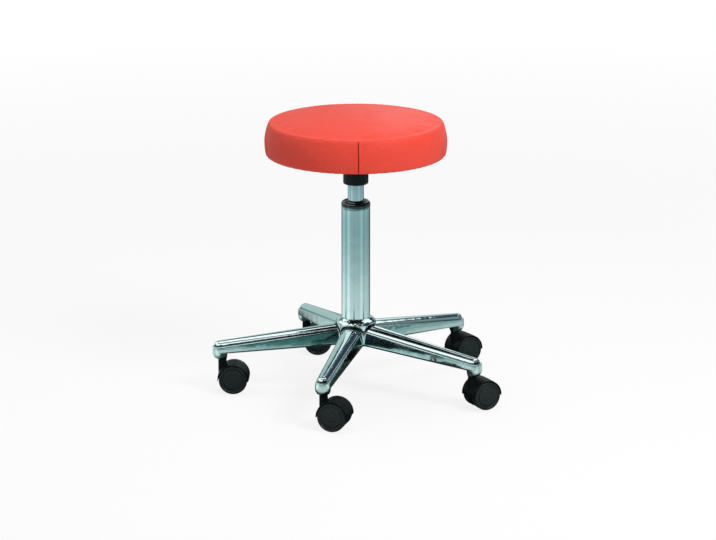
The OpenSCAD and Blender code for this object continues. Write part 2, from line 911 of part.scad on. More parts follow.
module stem_rings() {
    color(steel_colour)
        for (k = [0:arms_n - 1])
            at_stem(k)
                difference() {
                    translate([0, 0, ring_z + seat_fit])
                        cylinder(r = stem_r + ring_over, h = ring_h - 2 * seat_fit);
                    translate([0, 0, ring_z - overrun])
                        cylinder(r = stem_r - ring_t + seat_fit, h = ring_h + 2 * overrun);
                    translate([0, -chamfer, ring_z - overrun])
                        cube([socket_r, 2 * chamfer, ring_h + 2 * overrun]);
                }
}

module castor_stem(k) {
    color(steel_colour)
        at_stem(k)
            rotate_extrude()
                polygon([
                    [0, stem_foot_h],
                    [stem_r - chamfer, stem_foot_h],
                    [stem_r, stem_foot_h + chamfer],
                    [stem_r, ring_z],
                    [stem_r - ring_t, ring_z],
                    [stem_r - ring_t, ring_z + ring_h],
                    [stem_r, ring_z + ring_h],
                    [stem_r, castor_h + stem_grip - 2 * chamfer],
                    [stem_r - chamfer, castor_h + stem_grip - chamfer],
                    [0, castor_h + stem_grip - chamfer]
                ]);
}

// Housing: a web between the wheels, a hood over both and a neck round the stem
module castor_housing(k) {
    color(black_colour)
        at_stem(k)
            difference() {
                union() {
                    intersection() {
                        translate([trail, 0, wheel_r])
                            rotate([90, 0, 0])
                                cylinder(r = hood_r - web_inset, h = web_w, center = true);
                        translate([trail - hood_r, -web_w, wheel_r - web_drop])
                            cube([2 * hood_r, 2 * web_w, 2 * hood_r]);
                    }
                    intersection() {
                        translate([trail, 0, wheel_r])
                            rotate([90, 0, 0])
                                difference() {
                                    cylinder(r = hood_r, h = castor_w, center = true);
                                    cylinder(r = hood_r - hood_t, h = castor_w + overrun, center = true);
                                }
                        translate([trail - 2 * hood_r, -castor_w, wheel_r - hood_lip])
                            cube([4 * hood_r, 2 * castor_w, 2 * hood_r]);
                    }
                    translate([0, 0, stem_foot_h - 2 * chamfer])
                        cylinder(r = neck_r, h = castor_h - soft_gap - stem_foot_h + 2 * chamfer);
                }
                translate([0, 0, stem_foot_h - soft_gap])
                    cylinder(r = stem_r + run_fit, h = castor_h);
                translate([trail, 0, wheel_r])
                    rotate([90, 0, 0])
                        cylinder(r = axle_r + seat_fit, h = castor_w, center = true);
            }
}

module castor_axle(k) {
    len = castor_w - 2 * (face_recess + disc_t + axle_in);
    color(steel_colour)
        at_stem(k)
            translate([trail, 0, wheel_r])
                rotate([90, 0, 0])
                    cylinder(r = axle_r, h = len, center = true);
}

// Wheel on its own axis, from its inner side at wheel_in to its face
module wheel_body() {
    face_z = castor_half_w - face_recess;
    disc_z = face_z - disc_t;
    rim_in_r = wheel_r - rim_t;
    face_r = rim_in_r - chamfer;
    rotate_extrude()
        polygon(concat(
            [[axle_r + run_fit, web_w / 2 + wheel_side_gap],
             [wheel_hub_r, web_w / 2 + wheel_side_gap],
             [wheel_hub_r, disc_z],
             [rim_in_r, disc_z],
             [rim_in_r, wheel_in]],
            arc([wheel_r - chamfer, wheel_in + chamfer], chamfer, -90, 0, edge_steps),
            arc([wheel_r - tread_r, castor_half_w - tread_r], tread_r, 0, 90, edge_steps),
            [[face_r + face_bevel, castor_half_w],
             [face_r, face_z],
             [cap_r + cap_rise, face_z],
             [cap_r, face_z + cap_rise],
             [0, face_z + cap_rise],
             [0, disc_z - axle_in + soft_gap],
             [axle_r + run_fit, disc_z - axle_in + soft_gap]]
        ));
    for (i = [0:wheel_ribs - 1])
        rotate([0, 0, 360 * i / wheel_ribs])
            translate([wheel_hub_r - chamfer, -rib_t / 2, wheel_in + chamfer])
                cube([rim_in_r - wheel_hub_r + 2 * chamfer, rib_t, disc_z - wheel_in]);
}

module castor_wheel(k, side) {
    color(black_colour)
        at_stem(k)
            translate([trail, 0, wheel_r])
                rotate([-90 * side, 0, 0])
                    wheel_body();
}

module castor_1_stem() { castor_stem(0); }
module castor_2_stem() { castor_stem(1); }
module castor_3_stem() { castor_stem(2); }
module castor_4_stem() { castor_stem(3); }
module castor_5_stem() { castor_stem(4); }
module castor_1_housing() { castor_housing(0); }
module castor_2_housing() { castor_housing(1); }
module castor_3_housing() { castor_housing(2); }
module castor_4_housing() { castor_housing(3); }
module castor_5_housing() { castor_housing(4); }
module castor_1_axle() { castor_axle(0); }
module castor_2_axle() { castor_axle(1); }
module castor_3_axle() { castor_axle(2); }
module castor_4_axle() { castor_axle(3); }
module castor_5_axle() { castor_axle(4); }
module castor_1_wheel_left() { castor_wheel(0, 1); }
module castor_2_wheel_left() { castor_wheel(1, 1); }
module castor_3_wheel_left() { castor_wheel(2, 1); }
module castor_4_wheel_left() { castor_wheel(3, 1); }
module castor_5_wheel_left() { castor_wheel(4, 1); }
module castor_1_wheel_right() { castor_wheel(0, -1); }
module castor_2_wheel_right() { castor_wheel(1, -1); }
module castor_3_wheel_right() { castor_wheel(2, -1); }
module castor_4_wheel_right() { castor_wheel(3, -1); }
module castor_5_wheel_right() { castor_wheel(4, -1); }

seat_cover_top();
seat_cover_band();
seat_welt();
seat_foam();
seat_board();
seat_dust_cover();
seat_tee_nuts();
seat_plate();
plate_bolts();
taper_hub();
gas_cylinder();
rod_guide();
lever_pivot_pin();
release_lever();
lever_grip();
valve_button();
piston_rod();
piston();
bearing_upper_washer();
rubber_buffer();
retaining_clip();
base_hub();
arm_1();
arm_2();
arm_3();
arm_4();
arm_5();
castor_sockets();
stand_tube();
guide_bush();
thrust_bearing();
bearing_lower_washer();
stem_rings();
castor_1_stem();
castor_1_housing();
castor_1_axle();
castor_1_wheel_left();
castor_1_wheel_right();
castor_2_stem();
castor_2_housing();
castor_2_axle();
castor_2_wheel_left();
castor_2_wheel_right();
castor_3_stem();
castor_3_housing();
castor_3_axle();
castor_3_wheel_left();
castor_3_wheel_right();
castor_4_stem();
castor_4_housing();
castor_4_axle();
castor_4_wheel_left();
castor_4_wheel_right();
castor_5_stem();
castor_5_housing();
castor_5_axle();
castor_5_wheel_left();
castor_5_wheel_right();
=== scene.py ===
import json
import math
import bpy
import bmesh
import numpy as np
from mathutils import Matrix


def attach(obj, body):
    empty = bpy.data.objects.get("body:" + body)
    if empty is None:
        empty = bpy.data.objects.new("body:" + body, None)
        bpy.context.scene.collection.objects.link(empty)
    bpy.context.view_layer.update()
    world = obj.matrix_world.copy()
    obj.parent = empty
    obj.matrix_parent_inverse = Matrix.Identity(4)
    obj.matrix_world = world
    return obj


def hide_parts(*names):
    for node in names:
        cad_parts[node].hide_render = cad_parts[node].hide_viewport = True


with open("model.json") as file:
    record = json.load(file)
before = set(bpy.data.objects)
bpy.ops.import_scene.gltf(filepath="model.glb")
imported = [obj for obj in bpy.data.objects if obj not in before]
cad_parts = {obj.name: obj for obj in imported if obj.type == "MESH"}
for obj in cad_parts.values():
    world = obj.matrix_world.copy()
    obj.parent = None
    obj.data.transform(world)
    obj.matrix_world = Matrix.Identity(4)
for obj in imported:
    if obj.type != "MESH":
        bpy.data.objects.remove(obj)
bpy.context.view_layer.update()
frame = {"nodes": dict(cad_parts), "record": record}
cadNodes = frame["nodes"]
scene = bpy.context.scene
scene.view_settings.view_transform = "Standard"
print("frame loaded:", len(cadNodes), "nodes")


# surfaces from whole arrays; lengths are in millimetres until newPiece puts them in metres

def valuesOf(settings, names):
    return (settings[name] for name in names.split())


def mix(a, b, t):
    return a + (b - a) * t


def smoothStep(x, low, high):
    # 0 below low, 1 above high, and 3t^2 - 2t^3 between them
    t = np.clip((x - low) / (high - low), 0, 1)
    return t * t * (3 - 2 * t)


def bell(x, width, power=2):
    # exp(-(x / width)^power): 1 where x is 0, dying away to both sides
    return np.exp(-(x / width) ** power)


def unit(vectors):
    return vectors / np.linalg.norm(vectors, axis=-1, keepdims=True)


def fullTurn(count):
    # even angles all round, in radians
    return np.arange(count) * 2 * math.pi / count


def onCircle(radius, angle, height):
    # points (r cos a, r sin a, z) from arrays whose shapes fit together
    return np.stack([radius * np.cos(angle), radius * np.sin(angle), height + 0 * angle], -1)


def gridFaces(rows, columns, closeRows=False, closeColumns=False):
    # quads between neighbouring rows and columns of points that are numbered row by row
    index = np.arange(rows * columns).reshape(rows, columns)
    if closeRows:
        index = np.vstack([index, index[:1]])
    if closeColumns:
        index = np.hstack([index, index[:, :1]])
    return np.stack([index[:-1, :-1], index[:-1, 1:], index[1:, 1:], index[1:, :-1]], axis=-1).reshape(-1, 4)


def curved(a, corner, b, t):
    # (1-t)^2 a + 2t(1-t) corner + t^2 b
    return (1 - t) ** 2 * a + 2 * t * (1 - t) * corner + t ** 2 * b


def bent(a, corner, b, steps):
    return curved(np.asarray(a), np.asarray(corner), np.asarray(b), np.linspace(0, 1, steps)[:, None])


def filleted(corners, radii, steps=6):
    # each inner corner of an open line gives way to a curve that starts and ends one radius away from it,
    # or halfway to its neighbour where that is nearer
    p = np.asarray(corners, float)
    middle = p[1:-1]
    radius = np.broadcast_to(np.asarray(radii, float), (len(middle),))[:, None]

    def towards(end):
        length = np.linalg.norm(end - middle, axis=1)[:, None]
        return (middle + (end - middle) * np.minimum(radius / length, 0.5))[:, None]

    curve = curved(towards(p[:-2]), middle[:, None], towards(p[2:]), np.linspace(0, 1, steps)[None, :, None])
    return np.vstack([p[:1], curve.reshape(-1, p.shape[1]), p[-1:]])


def filletedLoop(corners, radii, steps=6, longest=5.0):
    # the same for a closed outline; its straight runs are cut into pieces no longer than longest,
    # so that their shading stays straight
    p = np.asarray(corners, float)
    line = filleted(np.vstack([p[-1:], p, p[:1]]), radii, steps)[1:-1]
    after = np.roll(line, -1, axis=0)
    pieces = np.ceil(np.linalg.norm(after - line, axis=1) / longest).clip(1).astype(int)
    return np.vstack([mix(a, b, (np.arange(n) / n)[:, None]) for a, b, n in zip(line, after, pieces)])


def lineLength(line):
    # the distance along a line from its start to each of its points
    return np.concatenate([[0], np.cumsum(np.linalg.norm(np.diff(line, axis=0), axis=1))])


def pointsAlong(line, at):
    # the points that lie the given distances along a line
    length = lineLength(line)
    return np.stack([np.interp(at, length, column) for column in line.T], 1)


def revolved(profile, around=96, loop=False):
    # point (r cos a, r sin a, z) for every profile point (r, z) and every angle a
    profile = np.asarray(profile, float)
    points = onCircle(profile[:, :1], fullTurn(around), profile[:, 1:])
    return points.reshape(-1, 3), gridFaces(len(profile), around, loop, True)


def capped(points, first, last):
    # rows of points, closed at both ends by a row that repeats one point
    ends = [np.repeat(end.reshape(1, 1, 3), points.shape[1], 1) for end in (first, last)]
    return np.concatenate([ends[0], points, ends[1]])


def tube(path, radius, up, sides=12, closed=False):
    # circle of the given radius round every path point, in the plane across the path's direction;
    # its first axis is the up vector with the part along the path taken away
    path = np.asarray(path, float)
    ahead = unit(np.roll(path, -1, 0) - np.roll(path, 1, 0) if closed else np.gradient(path, axis=0))
    up = np.broadcast_to(np.asarray(up, float), path.shape)
    first = unit(up - (up * ahead).sum(1)[:, None] * ahead)
    second = np.cross(ahead, first)
    angle = fullTurn(sides)[:, None]
    size = np.broadcast_to(np.asarray(radius, float), (len(path),))[:, None, None]
    points = path[:, None] + size * (first[:, None] * np.cos(angle) + second[:, None] * np.sin(angle))
    if not closed:
        points = capped(points, path[0], path[-1])
    return points.reshape(-1, 3), gridFaces(len(points), sides, closed, True)


def joined(parts):
    # several surfaces in one list of points and one of quads
    sizes = np.cumsum([0] + [len(points) for points, faces in parts])
    return (np.vstack([points for points, faces in parts]),
            np.vstack([faces + start for (points, faces), start in zip(parts, sizes)]))


def repeated(points, faces, turns, places):
    # copy i of every point is turns[i] x point + places[i]
    copies = np.einsum("nij,pj->npi", turns, points) + places[:, None]
    shift = np.arange(len(places))[:, None, None] * len(points)
    return copies.reshape(-1, 3), (faces[None] + shift).reshape(-1, 4)


def turnZ(angle):
    # rotation matrices about +Z for one angle or an array of angles, in radians
    c, s = np.cos(angle), np.sin(angle)
    zero = 0 * c
    rows = ((c, -s, zero), (s, c, zero), (zero, zero, zero + 1))
    return np.stack([np.stack(row, -1) for row in rows], -2)


def newPiece(name, surface, material, sharpAngle=40, attributes=None, merge=True):
    # a mesh object in metres, smooth except at edges sharper than sharpAngle, its faces pointing outwards
    points, faces = surface
    mesh = bpy.data.meshes.new(name)
    mesh.from_pydata(np.asarray(points) / 1000, [], np.asarray(faces))
    for key, values in (attributes or {}).items():
        layer = mesh.attributes.new(key, "FLOAT", "POINT")
        layer.data.foreach_set("value", np.asarray(values, np.float32).ravel())
    if merge:
        shape = bmesh.new()
        shape.from_mesh(mesh)
        bmesh.ops.remove_doubles(shape, verts=shape.verts, dist=2e-6)
        bmesh.ops.recalc_face_normals(shape, faces=shape.faces)
        shape.to_mesh(mesh)
        shape.free()
    mesh.polygons.foreach_set("use_smooth", np.ones(len(mesh.polygons), bool))
    mesh.set_sharp_from_angle(angle=math.radians(sharpAngle))
    mesh.materials.append(material)
    obj = bpy.data.objects.new(name, mesh)
    scene.collection.objects.link(obj)
    return obj


def meshPoints(mesh):
    values = np.zeros(len(mesh.vertices) * 3, np.float32)
    mesh.vertices.foreach_get("co", values)
    return values.reshape(-1, 3).astype(float)


def evaluatedMesh(obj):
    # the mesh that an object's modifiers give
    bpy.context.view_layer.update()
    return bpy.data.meshes.new_from_object(obj.evaluated_get(bpy.context.evaluated_depsgraph_get()))


# shader nodes; each function but addNode gives back the socket or sockets to read

def addNode(tree, kind, inputs=None, **options):
    # every input is joined where its value is a socket, and set where it is a number
    node = tree.nodes.new(kind)
    for key, value in options.items():
        setattr(node, key, value)
    for key, value in (inputs or {}).items():
        if isinstance(value, bpy.types.NodeSocket):
            tree.links.new(value, node.inputs[key])
        else:
            node.inputs[key].default_value = value
    return node


def mathNode(tree, operation, *inputs):
    return addNode(tree, "ShaderNodeMath", dict(enumerate(inputs)), operation=operation).outputs[0]


def vectorNode(tree, operation, *inputs):
    return addNode(tree, "ShaderNodeVectorMath", dict(enumerate(inputs)), operation=operation).outputs[0]


def mapRange(tree, value, low, high, toLow=0.0, toHigh=1.0, way="LINEAR"):
    # the range low to high is put on another range, and held at its ends
    inputs = {"Value": value, "From Min": low, "From Max": high, "To Min": toLow, "To Max": toHigh}
    return addNode(tree, "ShaderNodeMapRange", inputs, interpolation_type=way).outputs["Result"]


def mixValue(tree, factor, low, high):
    return mapRange(tree, factor, 0.0, 1.0, low, high)


def mixColour(tree, factor, first, second, blend="MIX"):
    node = addNode(tree, "ShaderNodeMix", data_type="RGBA", blend_type=blend)
    for socket, value in ((node.inputs[0], factor), (node.inputs[6], first), (node.inputs[7], second)):
        if isinstance(value, bpy.types.NodeSocket):
            tree.links.new(value, socket)
        else:
            socket.default_value = value if isinstance(value, float) else (*value, 1)
    return node.outputs[2]


def noise(tree, place, scale, detail, roughness=0.5, distortion=0.0):
    inputs = {"Vector": place, "Scale": scale, "Detail": detail,
              "Roughness": roughness, "Distortion": distortion}
    return addNode(tree, "ShaderNodeTexNoise", inputs).outputs


def cellDistance(tree, place, scale, feature="F1"):
    inputs = {"Vector": place, "Scale": scale}
    return addNode(tree, "ShaderNodeTexVoronoi", inputs, feature=feature).outputs["Distance"]


def mapped(tree, place, scale, rotation=(0.0, 0.0, 0.0)):
    inputs = {"Vector": place, "Rotation": rotation, "Scale": scale}
    return addNode(tree, "ShaderNodeMapping", inputs).outputs["Vector"]


def pieceAttribute(tree, name):
    return addNode(tree, "ShaderNodeAttribute", attribute_name=name).outputs["Fac"]


def giveBump(tree, shader, height, strength, distance, under=None):
    bump = addNode(tree, "ShaderNodeBump", {"Height": height, "Strength": strength, "Distance": distance})
    if under is not None:
        tree.links.new(under, bump.inputs["Normal"])
    tree.links.new(bump.outputs["Normal"], shader.inputs["Normal"])
    return bump.outputs["Normal"]


# shader groups that several finishes use

def newGroup(name, values, results):
    # a group that takes a Vector and the named values, and puts out the named results
    group = bpy.data.node_groups.new(name, "ShaderNodeTree")
    group.interface.new_socket("Vector", in_out="INPUT", socket_type="NodeSocketVector")
    for key, value in values.items():
        made = group.interface.new_socket(key, in_out="INPUT", socket_type="NodeSocketFloat")
        made.default_value = value
    for key in results:
        group.interface.new_socket(key, in_out="OUTPUT", socket_type="NodeSocketFloat")
    return group, group.nodes.new("NodeGroupInput").outputs, group.nodes.new("NodeGroupOutput").inputs


def leatherGrainGroup(shiftBy=0.0012, valleyWide=0.16):
    # pebbled cells with soft valleys between them, and fine pores on top
    tree, given, out = newGroup("leatherGrain", {"Cells": 900.0, "Pores": 0.25}, ("Height", "Valley"))
    bend = noise(tree, given["Vector"], 260.0, 2.0)["Color"]
    moved = vectorNode(tree, "ADD", given["Vector"], vectorNode(tree, "MULTIPLY", bend, (shiftBy,) * 3))
    cells = cellDistance(tree, moved, given["Cells"], "DISTANCE_TO_EDGE")
    valley = mapRange(tree, cells, 0.0, valleyWide, way="SMOOTHSTEP")
    pores = noise(tree, given["Vector"], 3200.0, 1.0)["Fac"]
    height = mathNode(tree, "ADD", valley, mathNode(tree, "MULTIPLY", pores, given["Pores"]))
    tree.links.new(height, out["Height"])
    tree.links.new(valley, out["Valley"])
    return tree


def smudgeGroup():
    # large soft patches broken by fine ones: finger marks, haze and uneven polish
    tree, given, out = newGroup("smudges", {"Scale": 18.0, "Low": 0.42, "High": 0.68}, ("Mask",))
    broad = noise(tree, given["Vector"], given["Scale"], 5.0, 0.62, 0.4)["Fac"]
    tree.links.new(mapRange(tree, broad, given["Low"], given["High"]), out["Mask"])
    return tree


def scratchGroup(crests=(0.64, 0.76)):
    # short fine scratches: noise drawn out along one axis of a turned space, cut to its crests
    tree, given, out = newGroup("scratches", {"Density": 260.0}, ("Mask",))
    turned = mapped(tree, given["Vector"], (1.0, 0.045, 1.0), (0.5, 0.9, 0.3))
    streaks = noise(tree, turned, given["Density"], 3.0, 0.75)["Fac"]
    tree.links.new(mapRange(tree, streaks, *crests), out["Mask"])
    return tree


def dustGroup(facingUp=(0.2, 1.0), patchy=(0.4, 0.8)):
    # dust that settles on what faces up, in patches
    tree, given, out = newGroup("settledDust", {"Amount": 0.2}, ("Mask",))
    normal = addNode(tree, "ShaderNodeNewGeometry").outputs["Normal"]
    upward = addNode(tree, "ShaderNodeSeparateXYZ", {"Vector": normal}).outputs["Z"]
    spots = mapRange(tree, noise(tree, given["Vector"], 90.0, 6.0, 0.7)["Fac"], *patchy)
    both = mathNode(tree, "MULTIPLY", mapRange(tree, upward, *facingUp), spots)
    tree.links.new(mathNode(tree, "MULTIPLY", both, given["Amount"]), out["Mask"])
    return tree


leatherGrain, smudges = leatherGrainGroup(), smudgeGroup()
scratches, settledDust = scratchGroup(), dustGroup()


def useGroup(tree, group, place, **values):
    return addNode(tree, "ShaderNodeGroup", {"Vector": place, **values}, node_tree=group).outputs


# finishes: haze is what the smudges group takes, scratches is a density, and a bump is (strength, metres)

def newMaterial(name, colour, metallic, roughness):
    material = bpy.data.materials.new(name)
    material.use_nodes = True
    tree = material.node_tree
    shader = tree.nodes["Principled BSDF"]
    shader.inputs["Base Color"].default_value = (*colour, 1)
    shader.inputs["Metallic"].default_value = metallic
    shader.inputs["Roughness"].default_value = roughness
    place = addNode(tree, "ShaderNodeTexCoord").outputs["Object"]
    return material, tree, shader, place


# seam is the colour of the painted shade in the closing seam's valley
vinylLook = dict(
    colour=(0.82, 0.076, 0.048), deep=(0.68, 0.048, 0.030), seam=(0.26, 0.010, 0.008),
    dusty=(0.82, 0.50, 0.44), roughness=0.42, smoother=0.05, rougher=0.08,
    shine=0.12, sheen=0.03, sheenRoughness=0.5,
    haze=dict(Scale=9.0, Low=0.35, High=0.7), hazeShare=0.16, dust=0.02,
    grain=dict(Cells=620.0, Pores=0.2), grainBump=(0.35, 0.00018), foldScale=26.0, foldBump=(0.25, 0.0016))


def makeVinyl(name, look):
    material, tree, shader, place = newMaterial(name, look["colour"], 0.0, look["roughness"])
    grain = useGroup(tree, leatherGrain, place, **look["grain"])
    haze = useGroup(tree, smudges, place, **look["haze"])["Mask"]
    dust = useGroup(tree, settledDust, place, Amount=look["dust"])["Mask"]
    valley = mixColour(tree, grain["Valley"], look["deep"], look["colour"])
    broad = mixColour(tree, mixValue(tree, haze, 0.0, look["hazeShare"]), valley, look["deep"])
    dusty = mixColour(tree, dust, broad, look["dusty"])
    # painted shade: the seam attribute darkens the closing seam's valley
    seamShaded = mixColour(tree, pieceAttribute(tree, "seam"), dusty, look["seam"])
    rough = mixValue(tree, haze, look["roughness"] - look["smoother"], look["roughness"] + look["rougher"])
    tree.links.new(seamShaded, shader.inputs["Base Color"])
    tree.links.new(rough, shader.inputs["Roughness"])
    shader.inputs["Sheen Weight"].default_value = look["sheen"]
    shader.inputs["Sheen Roughness"].default_value = look["sheenRoughness"]
    shader.inputs["Specular IOR Level"].default_value = look["shine"]
    folds = giveBump(tree, shader, noise(tree, place, look["foldScale"], 2.0)["Fac"], *look["foldBump"])
    giveBump(tree, shader, grain["Height"], *look["grainBump"], folds)
    return material


# crease is the colour of the painted shade in creases and grooves
chromeFinish = dict(haze=dict(Scale=22.0, Low=0.40, High=0.72), scratches=420.0, scratched=0.06, dust=0.08,
                    dusty=(0.50, 0.52, 0.50), crease=(0.012, 0.018, 0.018), waveScale=55.0, waveDepth=0.004)
chromeLooks = {
    "base_chrome": dict(colour=(0.62, 0.74, 0.73), hazy=(0.54, 0.67, 0.66),
                        roughness=0.05, dull=0.12, waves=0.08),
    "tube_chrome": dict(colour=(0.66, 0.78, 0.78), hazy=(0.60, 0.72, 0.72),
                        roughness=0.08, dull=0.14, waves=0.03),
    "gas_chrome": dict(colour=(0.66, 0.77, 0.80), hazy=(0.58, 0.70, 0.73),
                       roughness=0.05, dull=0.11, waves=0.0)}


def makeChrome(name, look):
    # polished plate with hazy patches; scratches add roughness, and the crease attribute paints a near-black
    # shade into creases and grooves
    material, tree, shader, place = newMaterial(name, look["colour"], 1.0, look["roughness"])
    haze = useGroup(tree, smudges, place, **look["haze"])["Mask"]
    marks = useGroup(tree, scratches, place, Density=look["scratches"])["Mask"]
    dust = useGroup(tree, settledDust, place, Amount=look["dust"])["Mask"]
    plate = mixColour(tree, haze, look["colour"], look["hazy"])
    dusty = mixColour(tree, dust, plate, look["dusty"])
    # painted shade: the crease attribute darkens the plate to near black
    creased = mixColour(tree, pieceAttribute(tree, "crease"), dusty, look["crease"])
    rough = mixValue(tree, haze, look["roughness"], look["dull"])
    marked = mathNode(tree, "MULTIPLY_ADD", marks, look["scratched"], rough)
    tree.links.new(creased, shader.inputs["Base Color"])
    tree.links.new(marked, shader.inputs["Roughness"])
    if look["waves"]:
        waves = noise(tree, place, look["waveScale"], 1.0)["Fac"]
        giveBump(tree, shader, waves, look["waves"], look["waveDepth"])
    return material


plasticFinish = dict(haze=dict(Scale=40.0, Low=0.45, High=0.75), duller=0.14, scratches=520.0, scuffed=0.5,
                     dust=0.06, dusty=(0.045, 0.05, 0.048), grainScale=2600.0, grainDepth=0.00012)
plasticLooks = {
    "black_plastic": dict(colour=(0.004, 0.006, 0.006), worn=(0.016, 0.019, 0.019),
                          roughness=0.38, shine=0.05, grain=0.25),
    "wheel_plastic": dict(colour=(0.011, 0.016, 0.016), worn=(0.024, 0.029, 0.028),
                          roughness=0.30, shine=0.22, grain=0.15),
    "bush_plastic": dict(colour=(0.005, 0.007, 0.007), worn=(0.02, 0.02, 0.022),
                         roughness=0.06, shine=0.9, grain=0.03),
    "black_steel": dict(colour=(0.006, 0.009, 0.009), worn=(0.03, 0.03, 0.03),
                        roughness=0.30, shine=0.22, grain=0.5),
    "buffer_rubber": dict(colour=(0.02, 0.02, 0.02), worn=(0.06, 0.06, 0.06),
                          roughness=0.75, shine=0.4, grain=0.5)}


def makePlastic(name, look):
    # also black paint and rubber: scuffed along scratches, with a fine moulded grain
    material, tree, shader, place = newMaterial(name, look["colour"], 0.0, look["roughness"])
    haze = useGroup(tree, smudges, place, **look["haze"])["Mask"]
    marks = useGroup(tree, scratches, place, Density=look["scratches"])["Mask"]
    dust = useGroup(tree, settledDust, place, Amount=look["dust"])["Mask"]
    scuffed = mixColour(tree, mixValue(tree, marks, 0.0, look["scuffed"]), look["colour"], look["worn"])
    dusty = mixColour(tree, dust, scuffed, look["dusty"])
    rough = mixValue(tree, haze, look["roughness"], look["roughness"] + look["duller"])
    tree.links.new(dusty, shader.inputs["Base Color"])
    tree.links.new(rough, shader.inputs["Roughness"])
    grain = noise(tree, place, look["grainScale"], 2.0)["Fac"]
    giveBump(tree, shader, grain, look["grain"], look["grainDepth"])
    shader.inputs["Specular IOR Level"].default_value = look["shine"]
    return material


zincLook = dict(
    colour=(0.52, 0.53, 0.55), blue=(0.50, 0.52, 0.56), yellow=(0.62, 0.60, 0.53), scratch=(0.34, 0.34, 0.35),
    roughness=0.30, smoothest=0.24, roughest=0.42, haze=dict(Scale=120.0, Low=0.35, High=0.7),
    scratches=900.0, scratched=0.6, bump=(0.2, 0.00008))


def makeZinc(name, look):
    # bright zinc: mottled grey with a faint yellow and blue cast, and fine brushing
    material, tree, shader, place = newMaterial(name, look["colour"], 1.0, look["roughness"])
    haze = useGroup(tree, smudges, place, **look["haze"])["Mask"]
    marks = useGroup(tree, scratches, place, Density=look["scratches"])["Mask"]
    tint = mixColour(tree, haze, look["blue"], look["yellow"])
    brushed = mixColour(tree, mixValue(tree, marks, 0.0, look["scratched"]), tint, look["scratch"])
    tree.links.new(brushed, shader.inputs["Base Color"])
    tree.links.new(mixValue(tree, haze, look["smoothest"], look["roughest"]), shader.inputs["Roughness"])
    giveBump(tree, shader, marks, *look["bump"])
    return material


plyLook = dict(
    colour=(0.62, 0.46, 0.28), dark=(0.50, 0.34, 0.19), pale=(0.70, 0.54, 0.35), glue=(0.40, 0.26, 0.14),
    roughness=0.62, smoothest=0.55, roughest=0.72, stretch=(6.0, 90.0, 40.0), layers=208.0, glueShare=0.5,
    bump=(0.3, 0.0003))


def makePlywood(name, look):
    # birch ply: long grain on the faces, thin darker glue lines through the edge
    material, tree, shader, place = newMaterial(name, look["colour"], 0.0, look["roughness"])
    figure = noise(tree, mapped(tree, place, look["stretch"]), 1.6, 6.0, distortion=0.5)["Fac"]
    wood = mixColour(tree, figure, look["dark"], look["pale"])
    layers = addNode(tree, "ShaderNodeTexWave", {"Vector": place, "Scale": look["layers"]},
                     bands_direction="Z", wave_profile="SIN").outputs["Fac"]
    glued = mixColour(tree, mixValue(tree, layers, 0.0, look["glueShare"]), wood, look["glue"])
    tree.links.new(glued, shader.inputs["Base Color"])
    tree.links.new(mixValue(tree, figure, look["smoothest"], look["roughest"]), shader.inputs["Roughness"])
    giveBump(tree, shader, figure, *look["bump"])
    return material


clothLook = dict(colour=(0.012, 0.012, 0.013), fibre=(0.05, 0.05, 0.05), roughness=0.95, sheen=0.3,
                 fibreScale=900.0, dots=420.0, pressed=(0.1, 0.45), bump=(0.6, 0.0004))


def makeCloth(name, look):
    # felted fibres laid crossways, without a weave, pressed down in dots
    material, tree, shader, place = newMaterial(name, look["colour"], 0.0, look["roughness"])
    fibres = noise(tree, place, look["fibreScale"], 4.0, 0.8, 1.5)["Fac"]
    pressed = mapRange(tree, cellDistance(tree, place, look["dots"]), *look["pressed"])
    tree.links.new(mixColour(tree, fibres, look["colour"], look["fibre"]), shader.inputs["Base Color"])
    shader.inputs["Sheen Weight"].default_value = look["sheen"]
    giveBump(tree, shader, mathNode(tree, "MULTIPLY", fibres, pressed), *look["bump"])
    return material


foamLook = dict(colour=(0.80, 0.70, 0.40), deep=(0.55, 0.44, 0.20), high=(0.86, 0.78, 0.50), roughness=0.95,
                bubbles=1400.0, bump=(0.7, 0.0004))


def makeFoam(name, look):
    material, tree, shader, place = newMaterial(name, look["colour"], 0.0, look["roughness"])
    bubbles = cellDistance(tree, place, look["bubbles"])
    tree.links.new(mixColour(tree, bubbles, look["deep"], look["high"]), shader.inputs["Base Color"])
    giveBump(tree, shader, bubbles, *look["bump"])
    return material


def camelName(slotName):
    first, second = slotName.split("_")
    return first + second.title()


finishes = {"red_vinyl": makeVinyl("redVinyl", vinylLook),
            "foam": makeFoam("cutFoam", foamLook),
            "plywood": makePlywood("birchPly", plyLook),
            "dust_cloth": makeCloth("dustCloth", clothLook),
            "zinc_steel": makeZinc("zincPlate", zincLook)}
for slotName, look in chromeLooks.items():
    finishes[slotName] = makeChrome(camelName(slotName), {**chromeFinish, **look})
for slotName, look in plasticLooks.items():
    finishes[slotName] = makePlastic(camelName(slotName), {**plasticFinish, **look})

for part in frame["record"]["subparts"]:
    node = cadNodes[part["node"]]
    node.data.materials.clear()
    node.data.materials.append(finishes[part["material_slot"]])
print("finishes made:", len(finishes))


def finishPiece(piece, body, slotName, *replaced):
    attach(piece, body)
    if replaced:
        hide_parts(*replaced)
    return piece


# seat pad: edgeOnly keeps the piping seam off points nearer than that to the middle of the round edge,
# and the blown start is held up to heldBand above its underside

